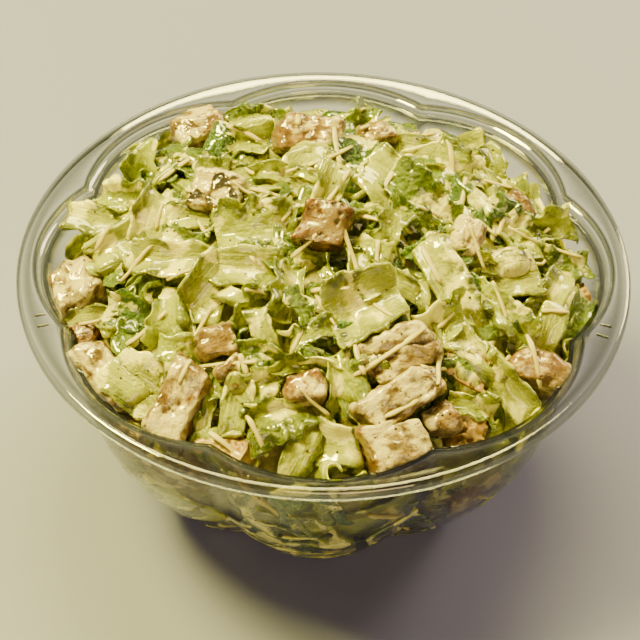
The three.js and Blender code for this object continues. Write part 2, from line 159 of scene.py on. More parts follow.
# %% Helpers for meshes made from arrays
def wobble(points, size, seed):
    """A smooth random field, about -1 to 1, over points in millimetres, whose bumps are about size across."""
    draws = np.random.default_rng(seed)
    total = np.zeros(points.shape[:-1])
    for _ in range(7):
        direction = draws.normal(size=points.shape[-1])
        direction *= math.pi / (size * draws.uniform(0.7, 1.6) * np.linalg.norm(direction))
        total += np.sin(points @ direction + draws.uniform(0, 2 * math.pi))
    return total / 3.2


def smooth_step(low, high, value):
    t = np.clip((value - low) / (high - low), 0, 1)
    return t * t * (3 - 2 * t)


def set_values(mesh, values):
    """Attaches values to a mesh's points, one number a point or three, for the materials to read."""
    for key, array in values.items():
        kind, field = ("FLOAT_VECTOR", "vector") if array.ndim == 2 else ("FLOAT", "value")
        attribute = mesh.attributes.new(key, kind, "POINT")
        attribute.data.foreach_set(field, array.astype(np.float32).ravel())


def only(piece):
    """Selects one object and makes it active, so that an operator acts on it alone."""
    bpy.ops.object.select_all(action="DESELECT")
    piece.select_set(True)
    bpy.context.view_layer.objects.active = piece


pieces = {}


def keep(piece, slot, *nodes):
    """A finished piece rides on the bowl's body and stands for the CAD nodes named. slot is not used."""
    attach(piece, "root")
    if nodes:
        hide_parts(*nodes)
    pieces[piece.name] = piece
    piece.data.calc_loop_triangles()
    print(piece.name, len(piece.data.loop_triangles), "triangles")


# %% [markdown]
# The bowl is thin clear PET, formed by sucking a hot sheet into a mould, so it has one even wall everywhere. Light goes
# straight through such a thin sheet and only glints off it. A full glass shader would bend the view and shade the
# salad, which a sheet this thin doesn't do, so the material is see-through mixed with a sharp mirror, whose share grows
# from a few per cent face on to nearly all of it edge on, as the Fresnel law says for PET. Where it is seen edge on,
# its see-through colour is painted a little darker: painted shade standing in for the dark lines that a real curved
# sheet shows by bending the view. A tight bend in real PET acts as a small lens and shows as a fine line; here the mesh
# says where it bends, and there the sheet is painted darker still and mirrors more: a painted dark line.

# %% Clear PET
def clear_pet():
    m = new_material("clear PET, thermoformed")
    facing = add_node(m, "LayerWeight", out="Facing", Blend=0.5)
    # painted shade: the see-through colour darkens edge on, for the lines a real curved sheet shows
    tint_and_edge_shade_stops = (0.0, "#fbfbfa"), (0.6, "#eeefee"), (0.85, "#ced1cf"), (1.0, "#8c908e")
    tint_and_edge_shade = add_node(m, "ValToRGB", stops=tint_and_edge_shade_stops, Fac=facing)
    bend = add_node(m, "Attribute", {"attribute_name": "bend"}, out="Fac")
    # painted shade: a darker line where the sheet bends tightly
    tint_and_edge_shade = add_node(m, "Mix", mixing, out=2, Factor=bend, _6=tint_and_edge_shade, _7="#a3a7a3")
    through = add_node(m, "BsdfTransparent", Color=tint_and_edge_shade)
    coords = add_node(m, "TexCoord", out="Object")
    ripple = add_node(m, "TexNoise", Vector=coords, Scale=55, Detail=1.0)  # the sheet's ripples, 18 mm apart
    bump = add_node(m, "Bump", Strength=0.12, Distance=0.0015, Height=ripple)
    mirror = add_node(m, "BsdfGlossy", Color="#ffffff", Roughness=0.045, Normal=bump)
    steep = add_node(m, "Math", {"operation": "POWER"}, _0=facing, _1=5.0)
    share = add_node(m, "Math", scale_and_add, _0=steep, _1=0.9, _2=0.035)
    share = add_node(m, "Math", {"use_clamp": True, **scale_and_add}, _0=bend, _1=0.2, _2=share)
    add_node(m, "OutputMaterial", Surface=add_node(m, "MixShader", _0=share, _1=through, _2=mirror))
    return m


pet = clear_pet()
print("material:", pet.name)

# %% [markdown]
# The bowl is drawn the way the mould forms it. It starts as a circle at the rim's edge. Its edge is extruded again and
# again, down the lip, across the flange, over the two small steps that a lid snaps on, and down the wall, and each new
# ring is moved onto the lobed outline for its height. One face closes the base and is inset twice, so that it shades
# flat, and Solidify gives the sheet its thickness. Last, two pairs of short ridges are added for the lid.

# %% Model the bowl
ring_points = 160


def bowl_rows():
    """(lobe, cusp, height) of each ring on the inside of the bowl, from the lip to the base."""
    rows = [(rim_radius - 0.5, None, rim_height - lip_drop)]
    for turn in np.radians((0, 22.5, 45, 67.5, 90)):
        reach = rim_radius - lip_reach * 0.5 + 0.5 * lip_reach * math.cos(turn) - 0.4
        rows.append((reach, None, rim_height - 1.3 + 1.3 * math.sin(turn)))
    rows.append((rim_radius - lip_reach - 0.8, None, rim_height - 0.05))
    rows.append((rim_radius - lip_reach - 1.6, None, rim_height - 0.5))
    rows.append((flange_lobe + 0.9, flange_cusp + 0.9, rim_height - 0.5))
    for step in range(2):
        z = rim_height - 0.3 - step * (step_drop + step_run)
        tuck = step * (step_in + step_run)
        for inward, below in ((0, 0.3), (0.3, 0.8), (step_run, step_drop - 0.2), (step_run + 0.5, step_drop + 0.1)):
            rows.append((flange_lobe - tuck - inward, flange_cusp - tuck - inward, z - below))
    for t in np.linspace(0, 1, 19):
        lobe = wall_top_lobe - (wall_top_lobe - wall_foot_lobe) * t**wall_bulge
        cusp = wall_top_cusp - (wall_top_cusp - wall_foot_cusp) * t**wall_bulge
        rows.append((lobe, cusp, step_foot + (foot_height - step_foot) * t))
    for tuck, z in ((0.8, 2.9), (1.8, 2.2), (3.2, 1.6), (4.8, 1.1), (flat_tuck, wall)):
        rows.append((wall_foot_lobe - tuck, wall_foot_cusp - tuck, z))
    return rows


def ring_at(lobe, cusp, z):
    """The points of one ring, from the front round. Without a cusp the ring is round."""
    angles = np.arange(ring_points) * 2 * math.pi / ring_points
    radius = np.full(ring_points, lobe) if cusp is None else lobed_radius(lobe, cusp, angles)
    return [Vector((r * math.sin(a), -r * math.cos(a), z)) * MM for r, a in zip(radius, angles)]


def mark_bends(bowl):
    """Notes on each point how sharply the sheet bends there, from 0 to 1, where the material paints a darker line."""
    mesh = bmesh.new()
    mesh.from_mesh(bowl.data)
    sharpest = [max(e.calc_face_angle(0.0) for e in v.link_edges) for v in mesh.verts]
    mesh.free()
    gentle, tight = 0.2, 0.9  # radians
    set_values(bowl.data, {"bend": np.clip((np.array(sharpest) - gentle) / (tight - gentle), 0, 1)})


def add_ridges(bowl):
    """Two short ridges are pressed into the flange at the left and at the right, where a lid is held."""
    ridge_in, ridge_sink, ridge_radius, ridge_length = 6.2, 0.45, 0.55, 4
    bars = []
    for angle in np.radians((-72.5, -69.5, 69.5, 72.5)):
        r = rim_radius - ridge_in
        place = Vector((r * math.sin(angle), -r * math.cos(angle), rim_height - ridge_sink)) * MM
        bpy.ops.mesh.primitive_cylinder_add(
            vertices=10, radius=ridge_radius * MM, depth=ridge_length * MM, location=place
        )
        bars.append(bpy.context.object)
        bars[-1].rotation_euler = (math.pi / 2, 0, angle)
    only(bowl)
    for bar in bars:
        bar.select_set(True)
    bpy.ops.object.join()


def model_bowl():
    rows = bowl_rows()
    bpy.ops.object.select_all(action="DESELECT")
    bpy.ops.mesh.primitive_circle_add(vertices=ring_points, radius=rim_radius * MM, location=(0, 0, rim_height * MM))
    bowl = bpy.context.object
    bowl.name = bowl.data.name = "clear_bowl"
    bpy.ops.object.transform_apply(location=True, rotation=True, scale=True)
    bpy.ops.object.mode_set(mode="EDIT")
    bpy.ops.mesh.select_all(action="SELECT")
    for i, row in enumerate(rows):
        if i:
            bpy.ops.mesh.extrude_edges_move()
        mesh = bmesh.from_edit_mesh(bowl.data)
        ring = [v for v in mesh.verts if v.select]
        ring.sort(key=lambda v: math.atan2(v.co.x, -v.co.y) % (2 * math.pi - 1e-6))
        for vertex, place in zip(ring, ring_at(*row)):
            vertex.co = place
        bmesh.update_edit_mesh(bowl.data)
    bpy.ops.mesh.edge_face_add()
    for _ in range(2):
        bpy.ops.mesh.inset(thickness=20 * MM)
    bpy.ops.mesh.select_all(action="SELECT")
    bpy.ops.mesh.normals_make_consistent(inside=True)
    bpy.ops.object.mode_set(mode="OBJECT")
    shell = bowl.modifiers.new("wall", "SOLIDIFY")
    shell.thickness, shell.offset, shell.use_even_offset = wall * MM, -1, True
    bpy.ops.object.modifier_apply(modifier=shell.name)
    add_ridges(bowl)
    bpy.ops.object.shade_smooth_by_angle(angle=math.radians(40))
    bowl.data.materials.append(pet)
    mark_bends(bowl)
    return bowl


keep(model_bowl(), "bowl", "bowl")

# %% [markdown]
# Chopped romaine comes in a few kinds, and each looks different in a bowl. Pale ribs are thick, crisp and watery.
# Heart leaves are thin, yellow and ruffled. Outer leaves are green and blistered between their veins, and a few are
# dark and soft. One leaf shader serves them all with different colours: it reads from the mesh where the rib and the
# veins run, how green the blade is there, which also holds painted shade in its hollows, and where the dressing lies.

# %% Romaine, dressed
cream = "#f0ea86"


def romaine(name, pale, middle, edge, vein, streaks, puckers):
    """Fresh romaine: a waxy, water-filled leaf, so it is glossy and lets some light through. The film of caesar
    dressing on it is a pale oily emulsion that gathers in the hollows. streaks draw the strings of the rib, and puckers
    the small cells between the veins; both follow the leaf through its own coordinates in millimetres. The patches are
    6 mm across, the strings 1.2, the cells 3 and the grain 2, which is coarser than a real leaf's, so that it shows."""
    m = new_material(name)
    blade = add_node(m, "Attribute", {"attribute_name": "blade"}, out="Vector")
    green, veins, coat = (
        add_node(m, "Attribute", {"attribute_name": key}, out="Fac") for key in ("green", "vein", "coat")
    )
    patch = add_node(m, "TexNoise", Vector=blade, Scale=0.16, Detail=4.0, Roughness=0.6)
    along = add_node(m, "Mapping", Vector=blade, Scale=(0.07, 0.85, 1.0))
    string = add_node(m, "TexNoise", Vector=along, Scale=1.0, Detail=3.0, Roughness=0.55)
    cells = add_node(m, "TexVoronoi", {"feature": "DISTANCE_TO_EDGE"}, Vector=blade, Scale=0.34, Randomness=0.9)
    pucker = add_node(m, "MapRange", smooth, Value=cells, _1=0.0, _2=0.32, _3=0.0, _4=1.0)
    grain = add_node(m, "TexNoise", Vector=blade, Scale=0.55, Detail=5.0, Roughness=0.65)

    tone = add_node(m, "Math", scale_and_add, _0=patch, _1=2.2, _2=green)
    tone = add_node(m, "Math", scale_and_add, _0=string, _1=streaks, _2=tone)
    tone = add_node(m, "Math", add, _0=tone, _1=-1.1 - 0.5 * streaks)
    colour = add_node(m, "ValToRGB", stops=((0.08, pale), (0.42, middle), (0.78, edge)), Fac=tone)
    line = add_node(m, "Math", scale_and_add, _0=pucker, _1=-puckers, _2=puckers)
    line = add_node(m, "Math", {"operation": "MAXIMUM", "use_clamp": True}, _0=line, _1=veins)
    colour = add_node(m, "Mix", mixing, out=2, Factor=line, _6=colour, _7=vein)
    film = add_node(m, "Math", scale_and_add, _0=grain, _1=0.35, _2=coat)
    film = add_node(m, "Math", scale_and_add, _0=patch, _1=-1.2, _2=film)
    colour = cover(m, colour, cream, film, 0.23, 0.47, 0.9, smooth)

    relief = add_node(m, "Math", scale_and_add, _0=string, _1=2.4 * streaks, _2=0.0)
    relief = add_node(m, "Math", scale_and_add, _0=pucker, _1=puckers, _2=relief)
    relief = add_node(m, "Math", scale_and_add, _0=grain, _1=1.1, _2=relief)
    bump = add_node(m, "Bump", Strength=1.0, Distance=0.0011, Height=relief)
    rough = add_node(m, "MapRange", Value=patch, _1=0.35, _2=0.65, _3=0.16, _4=0.34)
    leaf = {"Base_Color": colour, "Roughness": rough, "IOR": 1.46, "Normal": bump}
    light = {"Subsurface_Weight": 0.7, "Subsurface_Radius": (1.0, 1.0, 0.1), "Subsurface_Scale": 0.003}
    wet = {"Coat_Weight": 1.0, "Coat_IOR": 1.6, "Coat_Roughness": 0.07}
    add_node(m, "OutputMaterial", Surface=add_node(m, "BsdfPrincipled", **leaf, **light, **wet))
    return m


leaf_materials = {
    "rib": romaine("romaine rib, dressed", "#989f2a", "#616900", "#3e4900", "#a6ab3c", 0.5, 0.08),
    "heart": romaine("romaine heart, dressed", "#949e00", "#5c6800", "#364700", "#9ca40c", 0.25, 0.15),
    "green": romaine("romaine leaf, dressed", "#506300", "#283e00", "#152c00", "#627818", 0.2, 0.35),
    "dark": romaine("dark romaine leaf, dressed", "#2c4d12", "#133305", "#0b2302", "#46632c", 0.15, 0.4),
}
print("materials:", [m.name for m in leaf_materials.values()])

# %% [markdown]
# Under the loose leaves is a core that nobody sees as such: it only stops the eye in the dark gaps, so it is the heap's
# shape a few millimetres smaller, coloured like leaves in shade. It is a sphere pulled onto the inside of the bowl
# below and the dome above.

# %% The core
def core_material():
    m = new_material("leaves in shade")
    coords = add_node(m, "TexCoord", out="Object")
    patch = add_node(m, "TexNoise", Vector=coords, Scale=70, Detail=5.0, Roughness=0.7)  # leaves 14 mm across
    shades = (0.3, "#4c4614"), (0.5, "#7a7430"), (0.66, "#9ea063"), (0.8, "#bfbb97")
    colour = add_node(m, "ValToRGB", stops=shades, Fac=patch)
    bump = add_node(m, "Bump", Strength=0.8, Distance=0.003, Height=patch)
    shader = add_node(m, "BsdfPrincipled", Base_Color=colour, Roughness=0.5, Normal=bump)
    add_node(m, "OutputMaterial", Surface=shader)
    return m


def model_core():
    bpy.ops.object.select_all(action="DESELECT")
    bpy.ops.mesh.primitive_uv_sphere_add(segments=96, ring_count=64, radius=1)
    core = bpy.context.object
    core.name = core.data.name = "romaine_core"
    sink, inset, waist = 7.0, 3.2, heap_edge - 4
    for vertex in core.data.vertices:
        x, y, z = vertex.co
        angle = math.atan2(x, -y)  # from the front
        if z >= 0:
            r = (float(wall_inside(waist, angle)) - inset) * math.sin(math.acos(min(z, 1)))
            height = float(heap_height(r * math.sin(angle), r * math.cos(angle))) - sink
        else:
            height = waist * (1 + z * 0.985) + 2.0 * -z
            close = min(1, math.hypot(x, y) / 0.5) if z < -0.86 else 1  # the lowest rings close the base
            r = (float(wall_inside(height, angle)) - inset) * close
        bumps = 1.2 * float(wobble(np.array([r * math.sin(angle), r * math.cos(angle), height]), 8, 5))
        r = max(r - abs(bumps), 0) if z < 0 else r
        vertex.co = Vector((r * math.sin(angle), -r * math.cos(angle), height + (bumps if z >= 0 else 0))) * MM
    only(core)
    bpy.ops.object.shade_smooth()
    core.data.materials.append(core_material())
    return core


keep(model_core(), "romaine", "romaine_heap")

# %% [markdown]
# Each kind of leaf has its own build. The numbers say how wide its rib is as a share of the leaf, how thick it is at
# the rib and at the edge, how sharply it folds and rolls, how its edge ruffles, and how its veins and pillows stand
# out. Lengths are millimetres and folds are degrees. A sheet is bent by following a slope across it, as paper is
# rolled, so that it keeps its width.

# %% The kinds of leaf
look_names = ("rib", "thick", "thin", "fold", "roll", "ruffle", "wave", "blister", "gap", "ridge")
look_rows = {
    "rib": (0.34, 2.4, 1.0, 62, 0.04, 0.9, 12, 0.2, 6, 0.12),
    "heart": (0.13, 1.5, 0.6, 92, 0.08, 2.2, 8, 0.3, 5, 0.08),
    "green": (0.09, 1.3, 0.6, 64, 0.06, 1.7, 9, 0.6, 5, 0.06),
    "dark": (0.07, 0.9, 0.45, 50, 0.06, 1.4, 9, 0.5, 5, 0.04),
}
leaf_looks = {kind: dict(zip(look_names, row)) for kind, row in look_rows.items()}
green_range = {"rib": (0.0, 0.75), "heart": (0.2, 0.75), "green": (0.2, 0.7), "dark": (0.3, 0.6)}


def bent(s, slope):
    """Follows rows of a sheet whose slope is given, and returns where they go, along and up, from s = 0."""
    step, middle = np.diff(s, axis=1), (slope[:, 1:] + slope[:, :-1]) / 2
    start = np.zeros((len(s), 1))
    along = np.concatenate([start, np.cumsum(step * np.cos(middle), axis=1)], axis=1)
    up = np.concatenate([start, np.cumsum(step * np.sin(middle), axis=1)], axis=1)
    zero = np.argmin(np.abs(s), axis=1)[:, None]
    s0, slope0 = np.take_along_axis(s, zero, 1), np.take_along_axis(slope, zero, 1)
    along = along - np.take_along_axis(along, zero, 1) + s0 * np.cos(slope0)
    return along, up - np.take_along_axis(up, zero, 1) + s0 * np.sin(slope0)


print("kinds of leaf:", list(leaf_looks))

# %% [markdown]
# One chopped leaf is a sheet on a grid. Its ends are cut by the knife and its sides are ragged. A rib runs along it and
# side veins branch from the rib. The sheet is folded at the rib, rolled at its sides, and bent along its length. On
# top of that come a ruffle that grows towards the edge, the pillows between the veins, and fine ridges on the rib.

# %% One leaf
def leaf_sheet(length, width, kind, curl, seed, cell):
    """The middle surface of one piece as a grid of points in its own frame, with its thickness and its values."""
    look = leaf_looks[kind]
    draws = np.random.default_rng(seed)
    # the cut piece, laid flat: u runs along it and v across it, from -1 to 1
    length, width = 1.03 * length, 1.06 * width
    along, across = max(6, round(length / cell)), max(5, round(width / cell))
    u, v = np.meshgrid(np.linspace(-1, 1, along + 1), np.linspace(-1, 1, across + 1), indexing="ij")
    skew, phase = draws.uniform(-1, 1, 8), draws.uniform(0, 2 * math.pi, 6)
    x = length / 2 * (u + 0.14 * skew[0] * v)
    y = width / 2 * (v + 0.10 * skew[1] * u) * (1 + 0.22 * skew[2] * u) * (1 - 0.10 * (1 + skew[3]) * u**4)
    flat = np.stack([x, y], -1)
    ragged = 0.55 if kind == "rib" else 1.1
    y = y + ragged * v**5 * (wobble(flat, 5.5, seed + 1) + 0.6 * wobble(flat, 2.6, seed + 2))
    x = x + 0.6 * u**5 * (wobble(flat, 6, seed + 3) + 0.4 * wobble(flat, 2.6, seed + 4)) - 0.8 * u**5 * v**4
    # how much of each point is rib, and how far it is towards the edge
    rib_at = width * skew[4] * (0.2 if kind == "rib" else 0.26)
    from_rib = y - rib_at - 0.12 * skew[5] * x
    ribbed = np.exp(-((from_rib / (look["rib"] * width)) ** 2))
    away = np.clip(np.abs(from_rib) / (0.62 * width), 0, 1.2)
    hem = smooth_step(0.25, 1.0, away)

    # the fold at the rib, the roll of the blade and the turn of its edge
    sharp = np.tanh(from_rib / (2.2 if kind == "rib" else 1.6))
    slope = math.radians(look["fold"] / 2) * (1 + 0.35 * skew[6]) * sharp
    slope = slope + look["roll"] * draws.uniform(-1, 1) * from_rib
    edge_turn = np.where(from_rib > 0, *draws.uniform(-1.3, 0.8, 2))
    slope = slope + np.sign(from_rib) * smooth_step(0.55, 1.05, away) * edge_turn
    side, up = bent(from_rib, slope)
    # the ruffle, whose waves differ on the two sides of the rib
    wave = look["wave"] * draws.uniform(0.8, 1.25)
    swing = 2 * math.pi * x / wave + 1.2 * np.sin(math.pi * x / wave + phase[1]) + np.where(from_rib > 0, *phase[2:4])
    small = min(1, width / 11)
    frill = 0.55 * np.sin(swing) + 0.3 * np.sin(2.3 * swing + phase[0]) + 0.8 * wobble(flat, 0.5 * wave, seed + 12)
    up = up + small * look["ruffle"] * hem**1.3 * frill
    side = side + 0.45 * look["ruffle"] * hem * np.cos(swing) * np.sign(from_rib)
    # the side veins, the pillows between them, creases, and ridges along the rib
    slant = math.radians(draws.uniform(38, 60))
    branch = (x * math.sin(slant) - np.abs(from_rib) * math.cos(slant)) / look["gap"] * math.pi + phase[4]
    cross = (x * math.cos(slant) + np.abs(from_rib) * math.sin(slant)) / (1.4 * look["gap"]) * math.pi + phase[5]
    pillow = np.abs(np.sin(branch)) ** 0.6 * (0.5 + 0.5 * np.abs(np.sin(cross)) ** 0.6)
    relief = small * look["blister"] * (pillow - 0.6) * (1 - ribbed) + 1.0 * small * wobble(flat, 10, seed + 5)
    relief = relief - 0.25 * (1 - ribbed) * np.exp(-((wobble(flat, 7, seed + 6) / 0.16) ** 2))
    relief = relief + (0.1 + 0.22 * (1 - ribbed)) * wobble(flat, 3.4, seed + 7)
    relief = relief + look["ridge"] * np.abs(np.sin(math.pi * from_rib / 2.1 + 0.4 * np.sin(x / 5))) * ribbed
    up = up + relief
    # the bend along its length, with the tips turned a little more
    tip = draws.uniform(-0.5, 0.3)
    long_slope = -2 * curl / (length / 2) ** 2 * x + tip * np.sign(u) * smooth_step(0.5, 1.0, np.abs(u))
    run, rise = (g.T for g in bent(x.T, long_slope.T))
    up = up - np.average(up)
    points = np.stack([run - up * np.sin(long_slope), rib_at + side, rise + up * np.cos(long_slope)], -1)

    # what the material reads: how green, with painted shade in the hollows, where the veins are, and where the dressing
    # lies
    low, high = green_range[kind]
    green = low + high * hem * (1 + 0.25 * skew[7]) + 0.16 * wobble(flat, 8, seed + 8)
    # painted shade and light: the hollows of the blade are greener and darker, its rises paler
    green = green + 0.2 * draws.uniform(-1, 1) - 0.2 * relief * (1 - ribbed)
    vein = ribbed * 0.75 + 0.6 * (1 - ribbed) * (1 - smooth_step(0.05, 0.32, np.abs(np.sin(branch))))
    vein = np.maximum(vein, 0.6 * smooth_step(0.9, 1.0, np.abs(u)))  # the knife leaves a pale edge
    broad = min(max((width - 11) / 9, 0), 1)  # a broad piece is pale and holds more of the dressing
    green = green - 0.12 * broad
    held = 0.13 * broad - (0.08 if kind == "heart" else 0)
    coat = 0.39 + 0.36 * wobble(flat, 8, seed + 9) - 0.5 * relief * (1 - ribbed) + 0.1 * ribbed + held
    thick = look["thin"] + (look["thick"] - look["thin"]) * ribbed
    thick = min(1, width / 12) * thick * (1 - 0.3 * np.maximum(np.abs(u), np.abs(v)) ** 8 * (1 - ribbed))
    blade = np.stack([x, from_rib, np.full(x.shape, float(seed % 97) * 9)], -1)
    return points, thick, {"green": green, "vein": vein, "coat": coat, "blade": blade}


print("a heart leaf has a grid of", leaf_sheet(24, 16, "heart", 3, 1, 1.0)[1].shape, "points")

# %% [markdown]
# The pieces of chicken and crouton are already in place, from the CAD. A leaf that would pass through one is pushed to
# its surface, as a wet leaf drapes, and a leaf that would pass through the bowl is pressed flat against its inside.
# That flat, wet contact is what shows through the clear wall of a real salad. The thousands of faces of the leaves of
# one kind become one object, which is quicker to handle than hundreds of small ones.

# %% Draping
def tree_of(node):
    """A search tree over a CAD node, in millimetres."""
    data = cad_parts[node].data
    return BVHTree.FromPolygons([v.co / MM for v in data.vertices], [tuple(p.vertices) for p in data.polygons])


chunk_names = sorted(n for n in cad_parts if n.startswith(("chicken", "crouton")))
chunk_trees = {n: (tree_of(n), *[np.array(c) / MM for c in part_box(n)]) for n in chunk_names}


def hold_inside(points, gap):
    """Moves points that reach past the inside of the bowl back to it, less a gap. Above the rim they may lean out."""
    angle, radius = np.arctan2(points[:, 0], -points[:, 1]), np.hypot(points[:, 0], points[:, 1])
    lean_out = 3 * np.maximum(points[:, 2] - rim_height, 0)
    radius = np.minimum(radius, wall_inside(np.minimum(points[:, 2], rim_height), angle) + lean_out - gap)
    return np.stack([radius * np.sin(angle), -radius * np.cos(angle), points[:, 2]], -1)


def drape(points, thick, tuck):
    """Moves points of a sheet out of the chunks and into the bowl, or tucks it so far behind. All in millimetres."""
    flat, half = points.reshape(-1, 3).copy(), thick.reshape(-1) / 2
    for tree, low, high in chunk_trees.values():
        near = np.all((flat > low - 1) & (flat < high + 1), axis=1)
        for i in np.nonzero(near)[0]:
            spot, normal, _, _ = tree.find_nearest(Vector(flat[i]))
            if (Vector(flat[i]) - spot).dot(normal) < half[i] + 0.1:
                flat[i] = spot + normal * (half[i] + 0.15)
    flat = hold_inside(flat, half + tuck - 0.12)
    flat[:, 2] = np.maximum(flat[:, 2], wall + half - 0.1)
    return flat.reshape(points.shape)


def turned(lean, side, turn):
    """The rotation of a piece: turned in its own plane, leant to the front, then tipped to the side, in degrees."""
    lean, side, turn = (math.radians(a) for a in (lean, side, turn))
    return np.array(Matrix.Rotation(side, 3, "Y") @ Matrix.Rotation(lean, 3, "X") @ Matrix.Rotation(turn, 3, "Z"))


class Pile:
    """Collects the meshes of one kind of scattered thing, so that they become one object."""

    def __init__(self):
        self.points, self.faces, self.values, self.count = [], [], {}, 0

    def add(self, points, faces, **values):
        self.faces.extend([tuple(int(i) + self.count for i in face) for face in faces])
        self.points.append(points)
        self.count += len(points)
        for key, array in values.items():
            self.values.setdefault(key, []).append(array)

    def build(self, name, material):
        mesh = bpy.data.meshes.new(name)
        mesh.from_pydata((np.concatenate(self.points) * MM).tolist(), [], self.faces)
        mesh.polygons.foreach_set("use_smooth", [True] * len(mesh.polygons))
        set_values(mesh, {key: np.concatenate(arrays) for key, arrays in self.values.items()})
        mesh.materials.append(material)
        mesh.update()
        piece = bpy.data.objects.new(name, mesh)
        bpy.context.scene.collection.objects.link(piece)
        return piece


def add_sheet(pile, points, thick, values):
    """Gives a placed sheet its two faces and its border, and adds it to a pile."""
    du, dv = np.gradient(points, axis=0), np.gradient(points, axis=1)
    normal = np.cross(du, dv)
    normal /= np.maximum(np.linalg.norm(normal, axis=-1, keepdims=True), 1e-9)
    rows, columns = thick.shape
    relief = 0.22 * smooth_step(0.5, 0.95, values["coat"])
    top = points + normal * (thick / 2 + relief)[..., None]
    bottom = points - normal * (thick / 2)[..., None]
    number = np.arange(rows * columns).reshape(rows, columns)
    a, b, c, d = (g.ravel() for g in (number[:-1, :-1], number[1:, :-1], number[1:, 1:], number[:-1, 1:]))
    ring = np.concatenate([number[:-1, 0], number[-1, :-1], number[:0:-1, -1], number[0, :0:-1]])
    after, under = np.roll(ring, -1), rows * columns
    faces = [
        *zip(a, b, c, d),
        *zip(a + under, d + under, c + under, b + under),
        *zip(after, ring, ring + under, after + under),
    ]
    doubled = {key: np.concatenate([v.reshape(rows * columns, -1).squeeze()] * 2) for key, v in values.items()}
    pile.add(np.concatenate([top.reshape(-1, 3), bottom.reshape(-1, 3)]), faces, **doubled)


piles = {kind: Pile() for kind in leaf_looks}


def lay_leaf(centre, rotation, length, width, kind, curl, seed, cell, ceiling=None, tuck=0.0):
    """Lays one leaf. A ceiling keeps its points within that height over the dome, as if it were patted down."""
    points, thick, values = leaf_sheet(length, width, kind, curl, seed, cell)
    placed = points @ rotation.T + np.asarray(centre)
    if ceiling is not None:
        limit = heap_height(placed[..., 0], placed[..., 1]) + ceiling
        placed[..., 2] = np.where(placed[..., 2] > limit, limit + 0.2 * (placed[..., 2] - limit), placed[..., 2])
    add_sheet(piles[kind], drape(placed, thick, tuck), thick, values)


# %% [markdown]
# The leaves that show on top are placed one by one, as a cook would dress the bowl: each row is x, y, length, width,
# turn, lean, side, curl and kind. They are the same pieces as in the CAD heap.

